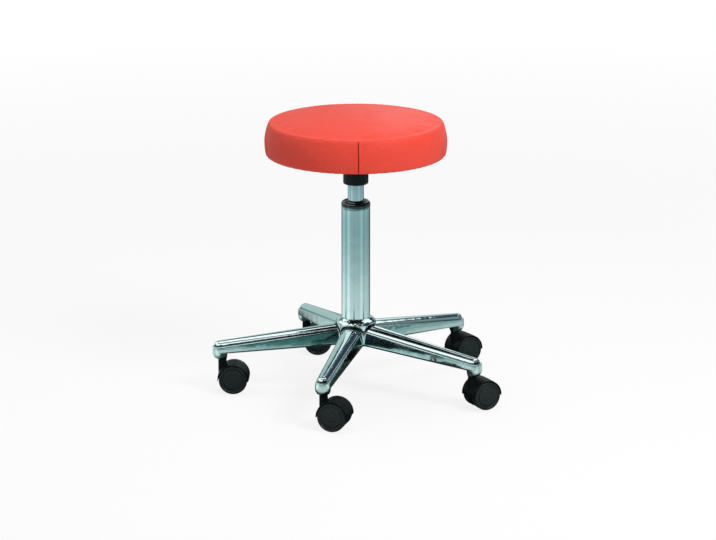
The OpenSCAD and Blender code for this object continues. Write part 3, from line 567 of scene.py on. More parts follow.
pad = dict(radius=158.5, underside=423.5, rim=483.0, crown=9.0, edge=17.0, foot=6.0, bulge=1.5,
           boardRadius=150.0, boardBottom=424.9, boardTop=436.9, foldRadius=136.0,
           seamDrop=3.5, seamDepth=0.45, seamSpread=2.2, seamReach=7.0, edgeOnly=6.0,
           puckers=97, puckerDepth=0.22, puckerSpread=4.0, pipingRadius=1.1, pipingSunk=0.85,
           seamAzimuth=271.6, closingDepth=1.5, closingSpread=0.8, closingShade=1.15,
           lipHeight=0.35, lipAt=2.6, lipSpread=1.7,
           gathers=(61, 143), gatherDepth=(0.35, 0.2), gatherShare=0.8,
           columns=520, evenShare=0.035, crowding=1.55, startInset=1.8, heldBand=1.5, voxel=0.0045,
           pressure=4.0, stiffness=25, bending=4, frames=20, furthest=2.2)


def padProfile(settings, inset, flatBottom):
    # crown z = rim + crown (1 - (r/R)^2), a round edge, a side that stands out by bulge sin(pi s),
    # a round foot
    rim, edge, foot, bulge = valuesOf(settings, "rim edge foot bulge")
    rimRadius = settings["radius"] - bulge - edge
    footTop = settings["underside"] + foot
    r = np.linspace(0, rimRadius, 46)[:-1]
    crown = [r, rim - inset + settings["crown"] * (1 - (r / rimRadius) ** 2)]
    a = np.radians(np.linspace(90, 0, 30))
    rounded = [rimRadius + (edge - inset) * np.cos(a), rim - edge + (edge - inset) * np.sin(a)]
    s = np.linspace(0, 1, 22)[1:]
    side = [rimRadius + edge - inset + bulge * np.sin(math.pi * s), mix(rim - edge, footTop, s)]
    a = np.radians(np.linspace(0, -90, 12))[1:]
    low = [rimRadius + edge - foot + (foot - inset) * np.cos(a), footTop + (foot - inset) * np.sin(a)]
    lines = [crown, rounded, side, low]
    if flatBottom:
        lines.append([np.linspace(low[0][-1], 0, 30)[1:], np.full(29, low[1][-1])])
    return np.hstack(lines).T


def blownPad(settings):
    # an inset closed copy of the pad, remeshed and blown up as cloth; how far a point may move is capped
    profile = padProfile(settings, settings["startInset"], True)
    start = newPiece("padStart", revolved(profile, 160), finishes["red_vinyl"])
    remesh = start.modifiers.new("even", "REMESH")
    remesh.mode, remesh.voxel_size = "VOXEL", settings["voxel"]
    mesh = evaluatedMesh(start)
    start.modifiers.clear()
    start.data = mesh
    rest = meshPoints(mesh)
    held = start.vertex_groups.new(name="held")
    heldBelow = settings["underside"] + settings["startInset"] + settings["heldBand"]
    held.add(np.nonzero(rest[:, 2] * 1000 < heldBelow)[0].tolist(), 1.0, "REPLACE")
    cloth = start.modifiers.new("cloth", "CLOTH")
    cloth.settings.use_pressure = True
    cloth.settings.uniform_pressure_force = settings["pressure"]
    cloth.settings.vertex_group_mass = "held"
    cloth.settings.effector_weights.gravity = 0
    cloth.settings.tension_stiffness = cloth.settings.compression_stiffness = settings["stiffness"]
    cloth.settings.bending_stiffness = settings["bending"]
    cloth.point_cache.frame_start, cloth.point_cache.frame_end = 1, settings["frames"]
    for step in range(1, settings["frames"] + 1):
        scene.frame_set(step)
    blown = evaluatedMesh(start)
    moved = meshPoints(blown) - rest
    distance = np.linalg.norm(moved, axis=1)[:, None] * 1000
    place = rest + moved * settings["furthest"] / (settings["furthest"] + distance)
    start.modifiers.clear()
    blown.vertices.foreach_set("co", place.astype(np.float32).ravel())
    start.data = blown
    scene.frame_set(1)
    smooth = start.modifiers.new("smooth", "SUBSURF")
    smooth.levels = smooth.render_levels = 1
    print("pad blown up: most", round(float(distance.max()), 2), "mm")
    return start


def columnAngles(settings):
    # columns that crowd towards the closing seam: a = seam + pi (e even + (1 - e) sign |even|^crowding),
    # with even from -1 to 1 and e the even share
    even = np.linspace(-1, 1, settings["columns"] + 1)[:-1]
    crowded = np.sign(even) * np.abs(even) ** settings["crowding"]
    return math.radians(settings["seamAzimuth"]) + math.pi * mix(crowded, even, settings["evenShare"])


def wrappedOver(settings, target, outer):
    # a grid of points laid on the blown pad, then brought back to the pad's radius and height
    radius, rim, crown, underside = valuesOf(settings, "radius rim crown underside")
    rows, columns = outer.shape[:2]
    surface = outer.reshape(-1, 3), gridFaces(rows, columns, False, True)
    cage = newPiece("padCage", surface, finishes["red_vinyl"], merge=False)
    wrap = cage.modifiers.new("wrap", "SHRINKWRAP")
    wrap.target, wrap.wrap_method = target, "TARGET_PROJECT"
    found = meshPoints(evaluatedMesh(cage)).reshape(outer.shape) * 1000
    bpy.data.objects.remove(cage)
    bpy.data.objects.remove(target)
    found[..., :2] *= radius / np.linalg.norm(found[..., :2], axis=-1).max()
    low, high = found[-1, :, 2].mean(), found[..., 2].max()
    found[..., 2] = underside + (found[..., 2] - low) * (rim + crown - underside) / (high - low)
    return found


def makePad(settings):
    # the cover's points row by row: the skin that shows, then what is folded round and laid over the board
    underside, foldRadius = valuesOf(settings, "underside foldRadius")
    side, low, high = settings["boardRadius"] + 0.3, settings["boardBottom"] - 0.1, settings["boardTop"] + 0.3
    profile = padProfile(settings, 0.0, False)
    outerRows = len(profile)
    fold = [[foldRadius + 1, underside], [foldRadius, underside + 0.6], [foldRadius + 0.6, low],
            [side, low], [side, high], [0.0, high]]
    profile = np.vstack([profile, fold])
    angle = columnAngles(settings)
    points = onCircle(profile[:, :1], angle, profile[:, 1:])
    outer = points[:outerRows].copy()
    found = wrappedOver(settings, blownPad(settings), outer)
    hold = smoothStep(np.arange(outerRows), outerRows - 9, outerRows - 1)[:, None, None]
    points[:outerRows] = mix(found, outer, hold)
    return points, outerRows, angle


def seamedPad(settings):
    points, outerRows, angle = makePad(settings)
    radius, edge, underside, edgeOnly = valuesOf(settings, "radius edge underside edgeOnly")
    seamAngle = math.asin((edge - settings["seamDrop"]) / edge)
    centre = np.array([radius - settings["bulge"] - edge, settings["rim"] - edge])
    flat = np.linalg.norm(points[..., :2], axis=-1)
    outward = np.stack([flat - centre[0], points[..., 2] - centre[1]], -1)
    reach = np.linalg.norm(outward, axis=-1)
    turn = np.arctan2(outward[..., 1], outward[..., 0])
    # piping seam: a groove of depth exp(-(d / spread)^2) at the distance d from it, puckered where it is sewn
    offSeam = (turn - seamAngle) * edge
    nearSeam = bell(offSeam, settings["seamReach"]) * (reach > edgeOnly)
    nearSeam[outerRows:] = 0
    groove = settings["seamDepth"] * bell(offSeam, settings["seamSpread"])
    pucker = settings["puckerDepth"] * np.sin(angle * settings["puckers"] + 2.1 * np.sin(angle * 13))
    newReach = mix(reach, edge - groove + pucker * bell(offSeam, settings["puckerSpread"]), nearSeam)
    scale = newReach / np.maximum(reach, 1e-6)
    newFlat = centre[0] + outward[..., 0] * scale
    newHeight = centre[1] + outward[..., 1] * scale
    # closing seam: a narrow valley of the same kind down the band, its two edges standing slightly proud
    seam = math.radians(settings["seamAzimuth"])
    across = (np.mod(angle - seam + math.pi, 2 * math.pi) - math.pi) * radius
    aboveBand = smoothStep(turn, seamAngle - 0.20, seamAngle - 0.04) * (reach > edgeOnly)
    onBand = smoothStep(newHeight, underside - 1, underside + 1) * (1 - aboveBand)
    onBand[outerRows:] = 0
    valley = settings["closingDepth"] * bell(across, settings["closingSpread"])
    lips = settings["lipHeight"] * bell(np.abs(across) - settings["lipAt"], settings["lipSpread"])
    newFlat = newFlat - onBand * (valley - lips)
    # gathers under the foot, where the cover is pulled round the board
    under = smoothStep(underside + 7 - newHeight, 0, 6) * smoothStep(newFlat, 130, 150)
    under[outerRows:] *= 0.4
    (broad, fine), (broadDepth, fineDepth) = settings["gathers"], settings["gatherDepth"]
    gather = broadDepth * np.sin(angle * broad + 1.7 * np.sin(angle * 7)) + fineDepth * np.sin(angle * fine)
    newHeight = newHeight + under * np.maximum(gather, 0) * settings["gatherShare"]
    change = newFlat / np.maximum(flat, 1e-6)
    points = np.concatenate([points[..., :2] * change[..., None], newHeight[..., None]], -1)
    # painted shade down the closing seam's valley, carried by the seam attribute
    shade = np.clip(onBand * bell(across, settings["closingShade"]), 0, 1)
    surface = points.reshape(-1, 3), gridFaces(len(points), len(angle), False, True)
    piece = newPiece("seatCushion", surface, finishes["red_vinyl"], sharpAngle=60, attributes={"seam": shade})
    finishPiece(piece, "seat", "red_vinyl", "seat_cover_top", "seat_cover_band", "seat_foam")
    return centre, seamAngle, points[:outerRows], angle


seamCentre, seamAngle, padSkin, padAngles = seamedPad(pad)


def makePiping(settings, uneven=0.08, swelling=0.05):
    # a cord of vinyl in the seam groove, a little uneven where it is sewn down
    angle = fullTurn(720)
    reach = settings["edge"] - settings["pipingSunk"]
    r = seamCentre[0] + reach * math.cos(seamAngle) + uneven * np.sin(angle * settings["puckers"])
    z = seamCentre[1] + reach * math.sin(seamAngle) + uneven * np.cos(angle * settings["puckers"])
    radius = settings["pipingRadius"] + swelling * np.sin(angle * 211)
    surface = tube(onCircle(r, angle, z), radius, (0, 0, 1), 14, closed=True)
    finishPiece(newPiece("seatPiping", surface, finishes["red_vinyl"]), "seat", "red_vinyl", "seat_welt")


makePiping(pad)

stitch = dict(beside=6.5, long=3.2, gap=1.5, radius=0.30, sunk=0.12, lowest=428.0, highest=479.0)


def makeStitches(settings):
    # two rows of thread beside the closing seam: each stitch is a short rod that dips into the vinyl
    # at both ends
    radius, step = settings["radius"], settings["long"] + settings["gap"]
    s = np.linspace(-1, 1, 9)
    rod = np.stack([0.45 * radius * (1 - 2.2 * s ** 4), 0 * s, s * settings["long"] / 2], 1)
    points, faces = tube(rod, radius * np.sqrt(1.02 - s ** 2) ** 0.5, (1, 0, 0), 8)
    turns, places = [], []
    for side in (-1, 1):
        azimuth = math.radians(pad["seamAzimuth"]) + side * settings["beside"] / pad["radius"]
        column = np.argmin(np.abs(np.angle(np.exp(1j * (padAngles - azimuth)))))
        line = padSkin[:, column]
        line = line[(line[:, 2] > settings["lowest"]) & (line[:, 2] < settings["highest"])][::-1]
        at = np.arange(step / 2, lineLength(line)[-1] - step / 2, step)
        place = pointsAlong(line, at)
        ahead = unit(pointsAlong(line, at + 0.5) - pointsAlong(line, at - 0.5))
        sideways = np.broadcast_to([-math.sin(azimuth), math.cos(azimuth), 0], ahead.shape)
        outward = np.cross(sideways, ahead)
        outward *= np.sign((outward[:, :2] * place[:, :2]).sum(1))[:, None]
        turns.append(np.stack([outward, np.cross(ahead, outward), ahead], -1))
        places.append(place - outward * settings["sunk"])
    surface = repeated(points, faces, np.vstack(turns), np.vstack(places))
    finishPiece(newPiece("seamStitches", surface, finishes["red_vinyl"]), "seat", "red_vinyl")


makeStitches(stitch)

dustCover = dict(radius=135.6, top=424.86, thick=0.7, plateReach=108.0, plateMargin=12.0, wave=0.35, rows=60)


def makeDustCloth(settings):
    # thin disc; its lower side ripples by wave (0.5 + 0.5 sin(a) sin(r)) outside the seat plate
    rows, wide, top, thick = valuesOf(settings, "rows radius top thick")
    radius = np.concatenate([np.linspace(0, wide, rows), [wide], np.linspace(wide, 0, rows)])[:, None]
    angle = fullTurn(180)
    under = (np.arange(len(radius)) < rows)[:, None]
    beyondPlate = smoothStep(radius, settings["plateReach"], settings["plateReach"] + settings["plateMargin"])
    waves = 0.5 + 0.5 * np.sin(angle * 23 + 2 * np.sin(angle * 5)) * np.sin(radius / 5)
    height = top - under * thick - settings["wave"] * beyondPlate * waves * under
    height[rows] = top - thick / 2
    surface = onCircle(radius, angle, height).reshape(-1, 3), gridFaces(len(radius), len(angle), False, True)
    piece = newPiece("dustCloth", surface, finishes["dust_cloth"])
    finishPiece(piece, "seat", "dust_cloth", "seat_dust_cover")
    wide = 2 * settings["radius"] / 1000


staple = dict(count=56, radius=143.0, wide=9.0, legs=1.4, wire=0.45, bend=0.7, sunk=0.25,
              skew=0.16, stray=0.9, uneven=0.012)


def makeStaples(settings):
    # wire bent down at both ends, one every few degrees round the folded cover, none quite true
    half, legs = settings["wide"] / 2, settings["legs"]
    wire = filleted([[0, -half, legs], [0, -half, 0], [0, half, 0], [0, half, legs]], settings["bend"], 5)
    points, faces = tube(wire, settings["wire"], (1, 0, 0), 6)
    number = np.arange(settings["count"])
    azimuth = fullTurn(settings["count"]) + settings["uneven"] * np.sin(number * 2.3)
    tilt = settings["skew"] * np.sin(number * 5.1)
    reach = settings["radius"] + settings["stray"] * np.sin(number * 3.7)
    places = onCircle(reach, azimuth, pad["underside"] - settings["sunk"])
    surface = repeated(points, faces, turnZ(azimuth + tilt), places)
    finishPiece(newPiece("coverStaples", surface, finishes["zinc_steel"]), "seat", "zinc_steel")


makeDustCloth(dustCover)
makeStaples(staple)
print("seat pad made")


# chromed base: arms; a pair of sizes is the root's and the tip's, and rows are counted up from the lower edge

arm = dict(azimuth=184.6, hubRadius=35.75, noseRadius=239.5, stemRadius=235.0, rootZ=86.0, tipZ=72.0,
           skirt=(20.0, 13.2), top=(17.0, 12.7), ridge=(15.5, 9.8), rise=(9.0, 9.3), shoulder=(24.0, 10.8),
           bend=(1.6, 1.0), lip=0.3, bulge=0.12, crease=0.5, roundness=2.05, sheet=1.8, dip=1.6,
           stations=30, noseSteps=32, creaseRow=27.5, creaseRows=2.4, creaseShade=0.75,
           ridgeRow=29, ridgeRows=4.0)
armAzimuths = np.radians(arm["azimuth"] + 72 * np.arange(5))


def armSection(settings, t):
    # half outline of the pressed arm at t between root and tip: the lower edge, a skirt that stands out by
    # bulge sin(pi s), the shoulder, and a ridge (w / ridge)^p + (h / rise)^p = 1
    skirt, top, ridge, rise, shoulder, bend = (
        mix(*settings[key], t) for key in ("skirt", "top", "ridge", "rise", "shoulder", "bend"))
    crease, roundness = valuesOf(settings, "crease roundness")
    corner, low = np.array([top, shoulder]), np.array([skirt + settings["lip"], 1.6])
    over, foot = np.array([mix(ridge, top, 0.35), shoulder]), np.array([ridge, shoulder + crease])
    s = np.linspace(0, 1 - bend / np.linalg.norm(corner - low), 14)[:, None]
    side = mix(low, corner, s) + settings["bulge"] * np.sin(math.pi * s) * [1, 0]
    angle = np.linspace(math.asin((crease / rise) ** (roundness / 2)), math.pi / 2, 20)[1:, None]
    power = 2 / roundness
    dome = np.hstack([ridge * np.cos(angle).clip(0) ** power, shoulder + rise * np.sin(angle) ** power])
    edge = bent([skirt, 0.0], [skirt, 0.9], low, 5)
    return np.vstack([edge[:-1], side[:-1], bent(side[-1], corner, over, 8),
                      bent(over, [ridge, shoulder], foot, 6)[1:], dome])


def noseTurn(settings):
    return np.radians(np.linspace(90, -90, settings["noseSteps"] + 2)[1:-1])


def armSkin(settings):
    # outer skin: straight lines from the root's outline on the hub to the tip's, carried round the nose and
    # back; the nose's lower edge dips by dip cos a
    first, last = armSection(settings, 0.0), armSection(settings, 1.0)
    hubRadius, noseRadius, rootZ, tipZ = valuesOf(settings, "hubRadius noseRadius rootZ tipZ")
    rootX = np.sqrt(hubRadius ** 2 - first[:, 0] ** 2)
    x = mix(rootX[None], noseRadius, np.linspace(0, 1, settings["stations"])[:, None])
    t = np.clip((x - hubRadius) / (noseRadius - hubRadius), 0, 1)
    w = mix(first[:, 0], last[:, 0], t)
    z = mix(rootZ, tipZ, t) + mix(first[:, 1], last[:, 1], t)
    angle = noseTurn(settings)[:, None]
    low = 1 - smoothStep(last[:, 1], 0, settings["shoulder"][1])
    noseX = noseRadius + last[:, 0] * np.cos(angle)
    noseW = last[:, 0] * np.sin(angle)
    noseZ = tipZ + last[:, 1] - settings["dip"] * np.cos(angle) * low
    lines = [(x, noseX, x[::-1]), (w, noseW, -w[::-1]), (z, noseZ, z[::-1])]
    return np.stack([np.vstack(line) for line in lines], -1).transpose(1, 0, 2)


def armShade(settings, rows, columns):
    # painted shade: dark in the crease at the ridge's foot, and round the nose where the ridge ends
    row = np.arange(rows)[::-1, None]
    crease = settings["creaseShade"] * bell(row - settings["creaseRow"], settings["creaseRows"])
    shade = crease + np.zeros(columns)
    around = np.pad(np.cos(noseTurn(settings)) ** 0.3, 1, constant_values=0.5)
    nose = slice(settings["stations"] - 1, settings["stations"] + settings["noseSteps"] + 1)
    ridgeEnd = bell(row - settings["ridgeRow"], settings["ridgeRows"]) * around
    shade[:, nose] = np.maximum(shade[:, nose], ridgeEnd)
    return shade


def armSurface(settings):
    # the outer skin, a rolled lower lip, and the inner skin one sheet's thickness inside
    sheet = settings["sheet"]
    outer = armSkin(settings)
    rows, columns = outer.shape[:2]
    normal = np.cross(np.gradient(outer, axis=1), np.gradient(outer, axis=0))
    size = np.linalg.norm(normal, axis=-1, keepdims=True)
    normal = np.where(size > 1e-9, normal / np.maximum(size, 1e-9), [0, 0, 1])
    normal *= np.sign(normal[rows // 2, settings["stations"] // 2, 1])
    normal[-1] = [0, 0, 1]
    inner = outer - normal * sheet
    inner[..., 2] = np.minimum(inner[..., 2], outer[..., 2].max() - sheet)
    turn = np.radians(np.linspace(0, 180, 7)[1:-1])[:, None, None]
    middle, half = (outer[0] + inner[0]) / 2, (outer[0] - inner[0]) / 2
    lip = middle[None] + half[None] * np.cos(turn) + np.array([0, 0, -0.5]) * sheet * np.sin(turn)
    points = np.concatenate([outer[::-1], lip, inner])
    shade = np.zeros(points.shape[:2])
    shade[:rows] = armShade(settings, rows, columns)
    return points, rows, shade


def armFaces(shape, rows):
    # the sheet itself, then a strip that joins its two skins at either side of the root
    total, columns = shape
    faces = [gridFaces(total, columns)]
    skin = np.arange(rows)
    for column in (0, columns - 1):
        outer = (rows - 1 - skin) * columns + column
        inner = (total - rows + skin) * columns + column
        faces.append(np.stack([outer[:-1], outer[1:], inner[1:], inner[:-1]], 1))
    return np.vstack(faces)


def makeArms(settings):
    points, rows, shade = armSurface(settings)
    faces = armFaces(points.shape[:2], rows)
    for number, azimuth in enumerate(armAzimuths, 1):
        turned = points.reshape(-1, 3) @ turnZ(azimuth).T
        name = f"pressedArm{number}"
        piece = newPiece(name, (turned, faces), finishes["base_chrome"], 60, {"crease": shade})
        finishPiece(piece, "base", "base_chrome", f"arm_{number}")


makeArms(arm)

bowl = dict(foot=7.6, rim=13.55, low=60.0, high=72.4, ahead=4.5, neck=9.5, top=80.0, bore=5.65, around=96)


def makeBowls(settings):
    # a bowl that carries on each nose: r = foot + (rim - foot) sin a and z = high - (high - low) cos a, its
    # middle moved out by ahead sin a; a bored neck stands inside it
    foot, rim, low, high, neck, top, bore = valuesOf(settings, "foot rim low high neck top bore")
    angle = np.radians(np.linspace(0, 90, 20))
    side = np.stack([mix(foot, rim, np.sin(angle)), mix(high, low, np.cos(angle))], 1)
    before = [[bore, low + 0.5], [bore + 0.5, low], [foot - 0.6, low]]
    after = [[rim - 0.4, high + 0.15], [neck + 0.5, high], [neck, high + 0.5], [neck, top - 0.4],
             [neck - 0.4, top], [bore + 0.3, top], [bore, top - 0.3]]
    points, faces = revolved(np.vstack([before, side, after]), settings["around"], loop=True)
    move = np.concatenate([np.zeros(len(before)), np.sin(angle), [1.0], np.zeros(len(after) - 1)])
    points[:, 0] += settings["ahead"] * np.repeat(move, settings["around"])
    surface = repeated(points, faces, turnZ(armAzimuths), onCircle(arm["stemRadius"], armAzimuths, 0))
    piece = newPiece("noseBowls", surface, finishes["base_chrome"], 50)
    finishPiece(piece, "base", "base_chrome", "castor_sockets")


makeBowls(bowl)
print("arms made")


# chromed base: hub, welds and stand tube

# the darkening values set the painted shade in the grooves round the arms' roots and on the welds
hub = dict(radius=35.5, bottom=85.0, shoulder=121.0, top=131.5, collar=27.2, foot=24.4, bore=25.05,
           columns=600, grooveDepth=1.1, grooveWide=1.9, grooveAt=1.9, paintedShade=0.97, shadeLow=22, shadeFull=6,
           lumps=0.22, warp=0.11,
           waves=((1.0, 9, 0.4, 0.0), (0.7, 16, -0.7, 1.0), (0.45, 23, 0.9, 2.0), (0.30, 34, -1.6, 0.0)))


def outlineDistance(w, z, outline):
    # distance from every point (w, z) to the nearest part of an outline made of straight pieces
    start, ahead = outline[:-1], np.diff(outline, axis=0)
    point = np.stack([w, z], -1)[..., None, :]
    share = np.clip(((point - start) * ahead).sum(-1) / (ahead ** 2).sum(-1), 0, 1)
    return np.linalg.norm(point - start - share[..., None] * ahead, axis=-1).min(-1)


def rootOutline(settings):
    half = armSection(settings, 0.0) + [0, settings["rootZ"]]
    return np.vstack([half, half[-2::-1] * [-1, 1]])


def hubProfile(settings):
    # a plain wall, a shoulder that turns in through 60 degrees, a collar, and the bore for the stand tube
    radius, low, high, top = valuesOf(settings, "radius bottom shoulder top")
    collar, foot, bore = valuesOf(settings, "collar foot bore")
    wall = np.stack([np.full(80, radius), np.linspace(low + 1, high, 80)], 1)
    angle = np.radians(np.linspace(0, 60, 18))[1:]
    inwards = radius - collar
    shoulder = np.stack([collar + inwards * np.cos(angle), high + inwards * np.sin(angle)], 1)
    neck = np.linspace(shoulder[-1], [collar, top - 0.3], 8)[1:]
    return np.vstack([
        [[foot, low], [radius - 1, low], [radius - 0.3, low + 0.3]], wall, shoulder, neck,
        [[collar - 0.4, top], [bore + 0.9, top - 0.1], [bore, top - 1.6], [foot, low + 3]]])


def makeHub(settings):
    # a turned body; a groove follows each arm's root outline, and the sloping shoulder is lumpy from welding
    # and polish: share sin(count a + slant z + start), for each of the waves
    low, high, top, at, wide = valuesOf(settings, "bottom shoulder top grooveAt grooveWide")
    profile = hubProfile(settings)
    azimuth = fullTurn(settings["columns"])
    r, z = profile[:, :1] + 0 * azimuth, profile[:, 1:] + 0 * azimuth
    nearest = np.mod(azimuth - armAzimuths[0] + math.pi / 5, 2 * math.pi / 5) - math.pi / 5
    outer = (profile[:, :1] > settings["collar"] - 0.1) & (profile[:, 1:] > low + 0.2)
    away = outlineDistance(r * np.sin(nearest), z, rootOutline(arm)) - at
    slope = smoothStep(z, high - 2, high + 3) * (1 - smoothStep(z, top - 2.5, top - 0.5))
    warped = azimuth + settings["warp"] * np.sin(azimuth * 3 + z * 0.2)
    waves = sum(share * np.sin(warped * count + z * slant + start)
                for share, count, slant, start in settings["waves"])
    r = r + outer * (settings["lumps"] * slope * waves - settings["grooveDepth"] * bell(away, wide))
    # painted shade in the groove round each arm's root, strongest just below the shoulder
    shadeRise = smoothStep(z, high - settings["shadeLow"], high - settings["shadeFull"])
    shade = outer * settings["paintedShade"] * bell(away, wide, 4) * shadeRise
    surface = onCircle(r, azimuth, z).reshape(-1, 3), gridFaces(len(profile), len(azimuth), True, True)
    piece = newPiece("baseHub", surface, finishes["base_chrome"], 70, {"crease": shade})
    finishPiece(piece, "base", "base_chrome", "base_hub")


# the darkening heights set where the painted shade on the welds fades in
weld = dict(radius=1.4, ripple=0.05, proud=0.05, buried=0.5, steps=170, smoothing=9, fadeLength=3,
            shadeLow=18, shadeFull=4)


def makeWelds(settings):
    # concave fillet between the hub's wall and each arm: R (1 - cos u) off the wall where it is R (1 - sin u)
    # off the arm, with weld ripples in R
    outline, smoothing = rootOutline(arm), settings["smoothing"]
    at = np.linspace(0, lineLength(outline)[-1], settings["steps"])
    padded = np.pad(pointsAlong(outline, at), ((smoothing // 2, smoothing // 2), (0, 0)), mode="edge")
    share = np.ones(smoothing) / smoothing
    line = np.stack([np.convolve(column, share, mode="valid") for column in padded.T], 1)
    ahead = np.gradient(line, axis=0)
    normal = unit(np.stack([-ahead[:, 1], ahead[:, 0]], 1))
    inside = np.array([0, arm["rootZ"] + 12])
    normal *= -np.sign((normal * (inside - line)).sum(1))[:, None]
    ends = np.sqrt(np.clip(np.minimum(at, at[-1] - at) / settings["fadeLength"], 0, 1))
    size = (settings["radius"] + settings["ripple"] * np.sin(at * 1.9 + np.sin(at * 0.7))) * ends
    u = np.radians(np.linspace(0, 90, 9))
    root = np.full((len(at), 1), -settings["buried"])
    offWall = np.hstack([size[:, None] * (1 - np.cos(u)) + settings["proud"], root])
    offArm = np.hstack([size[:, None] * (1 - np.sin(u)) + settings["proud"], root])
    w, z = line[:, :1] + normal[:, :1] * offArm, line[:, 1:] + normal[:, 1:] * offArm
    points = np.stack([np.sqrt(hub["radius"] ** 2 - w ** 2) + offWall, w, z], -1)
    points = capped(points, points[0].mean(0), points[-1].mean(0))
    faces = gridFaces(points.shape[0], points.shape[1], False, True)
    surface = repeated(points.reshape(-1, 3), faces, turnZ(armAzimuths), np.zeros((5, 3)))
    # painted shade on the welds, darker towards the shoulder
    height, high = np.tile(points[..., 2].ravel(), 5), hub["shoulder"]
    shade = hub["paintedShade"] * smoothStep(height, high - settings["shadeLow"], high - settings["shadeFull"])
    piece = newPiece("armWelds", surface, finishes["base_chrome"], 60, {"crease": shade})
    finishPiece(piece, "base", "base_chrome")


makeHub(hub)
makeWelds(weld)

standTube = dict(radius=25.0, footRadius=24.35, wall=1.5, low=90.0, floorTop=93.0, hubTop=131.5, high=331.0,
                 hole=4.1, rounds=(0.2, 0.8, 4, 0.5, 0.5, 4, 1, 0.2))


def makeStandTube(settings):
    radius, foot, wall, hole = valuesOf(settings, "radius footRadius wall hole")
    low, floorTop, hubTop, high = valuesOf(settings, "low floorTop hubTop high")
    profile = filletedLoop([[hole, low], [foot, low], [radius, hubTop], [radius, high],
                            [radius - wall, high], [radius - wall, hubTop],
                            [foot - wall, floorTop], [hole, floorTop]], settings["rounds"])
    surface = revolved(profile, 160, loop=True)
    finishPiece(newPiece("standTube", surface, finishes["tube_chrome"]), "base", "tube_chrome", "stand_tube")


# outlines for turning: each corner is (radius, height, corner radius)
guideBush = dict(
    flange=((25.0, 331.05, 0.4), (25.35, 332.2, 0.8), (25.35, 337.4, 2.6), (23.4, 340.4, 1.5)),
    moat=((20.4, 340.5, 0.9), (19.2, 338.2, 0.8), (16.9, 338.0, 0.8)),
    wiper=((16.1, 340.4, 0.5), (14.9, 340.9, 0.5), (14.08, 339.9, 0.5)),
    lands=((14.08, 327.0, 0.4), (14.65, 326.0, 0.4), (14.65, 277.0, 0.4), (14.08, 276.0, 0.4)),
    spigot=((14.08, 262.0, 0.6), (23.45, 262.0, 0.8), (23.45, 331.05, 0.2)))


def turnedOutline(outline, steps=6):
    corners = np.vstack(list(outline.values()))
    return filletedLoop(corners[:, :2], corners[:, 2], steps)


def makeGuideBush(settings):
    # flange with a rolled edge, a moat round a raised wiper lip, and two lands that guide the pressure tube
    surface = revolved(turnedOutline(settings, 7), 144, loop=True)
    piece = newPiece("guideBush", surface, finishes["bush_plastic"])
    finishPiece(piece, "base", "bush_plastic", "guide_bush")


makeStandTube(standTube)
makeGuideBush(guideBush)
print("hub and column made")


# castors; headings are the directions that the five castors trail in, in degrees

castor = dict(circle=235.0, headings=(-2, -17, 28, 32, 5), trail=19.5, axleHeight=25.0, half=21.5,
              hood=28.0, hoodThick=1.8, crown=0.5, hoodFrom=-3, hoodTo=184,
              fadeLength=2.2, taperLength=12, thinnest=0.62,
              neck=7.4, neckTop=59.7, neckLow=37.8, neckFlare=2.4, stemHole=5.55,
              web=6.0, webRadius=26.5, webDrop=9.0)


def atStem(points, k):
    # castor k's own space, with the stem on Z and the wheel trailing along +X, put where its stem stands
    stem = onCircle(castor["circle"], armAzimuths[k], 0)
    return points @ turnZ(math.radians(castor["headings"][k])).T + stem


def roundAxle(settings, radius, across, angle):
    # points at a radius and an angle round the axle, across being the distance along it
    x, z = settings["trail"] + radius * np.cos(angle), settings["axleHeight"] + radius * np.sin(angle)
    return np.stack([x, across + 0 * angle, z], -1)


def hoodSurface(settings):
    # a crowned strip swept round the axle; its thickness dies away as sqrt(1 - t^2) at both lips
    half, hood, thick, crown = valuesOf(settings, "half hood hoodThick crown")
    y = np.linspace(-half + 0.9, half - 0.9, 22)
    outer = np.stack([hood - crown * (np.abs(y) / half) ** 3, y], 1)
    inner = np.stack([np.full(22, hood - thick), y], 1)[::-1]
    turn = np.radians(np.linspace(90, -90, 7))[1:-1]
    rim = np.stack([hood - 0.5 * crown - thick / 2 + 0.75 * np.sin(turn), half - 0.9 + 0.9 * np.cos(turn)], 1)
    section = np.vstack([outer, rim, inner, rim[::-1] * [1, -1]])
    angle = np.radians(np.linspace(settings["hoodFrom"], settings["hoodTo"], 110))[:, None]
    fromEnd = np.minimum(angle - angle[0], angle[-1] - angle) * hood
    full = np.sqrt(np.clip(1 - (1 - np.clip(fromEnd / settings["fadeLength"], 0, 1)) ** 2, 0, 1))
    taper = mix(settings["thinnest"], 1.0, smoothStep(fromEnd, 0, settings["taperLength"]))
    middle = hood - thick / 2
    radius = middle + (section[:, 0] - middle) * (full * taper)
    across = section[:, 1] * (1 - 0.035 * (1 - full))
    points = roundAxle(settings, radius, across, angle)
    return points.reshape(-1, 3), gridFaces(len(angle), len(section), False, True)


def webSurface(settings):
    # a plate whose edge lies at R(a) round the axle: the smaller of its circle and the chord below,
    # rounded where they meet; its rim is broken by a small round
    half, radius = valuesOf(settings, "web webRadius")
    angle = fullTurn(96)
    chord = settings["webDrop"] / np.maximum(-np.sin(angle), 0.05)
    edge = (radius ** -8.0 + chord ** -8.0) ** (-1 / 8)
    side = np.array([[0, half], [0.5, half], [1 - 0.8 / 26, half], [1 - 0.2 / 26, half - 0.25],
                     [1, half - 0.9]])
    rows = np.vstack([side * [1, -1], side[::-1]])
    points = roundAxle(settings, rows[:, :1] * edge, rows[:, 1:], angle)
    return points.reshape(-1, 3), gridFaces(len(rows), len(angle), False, True)


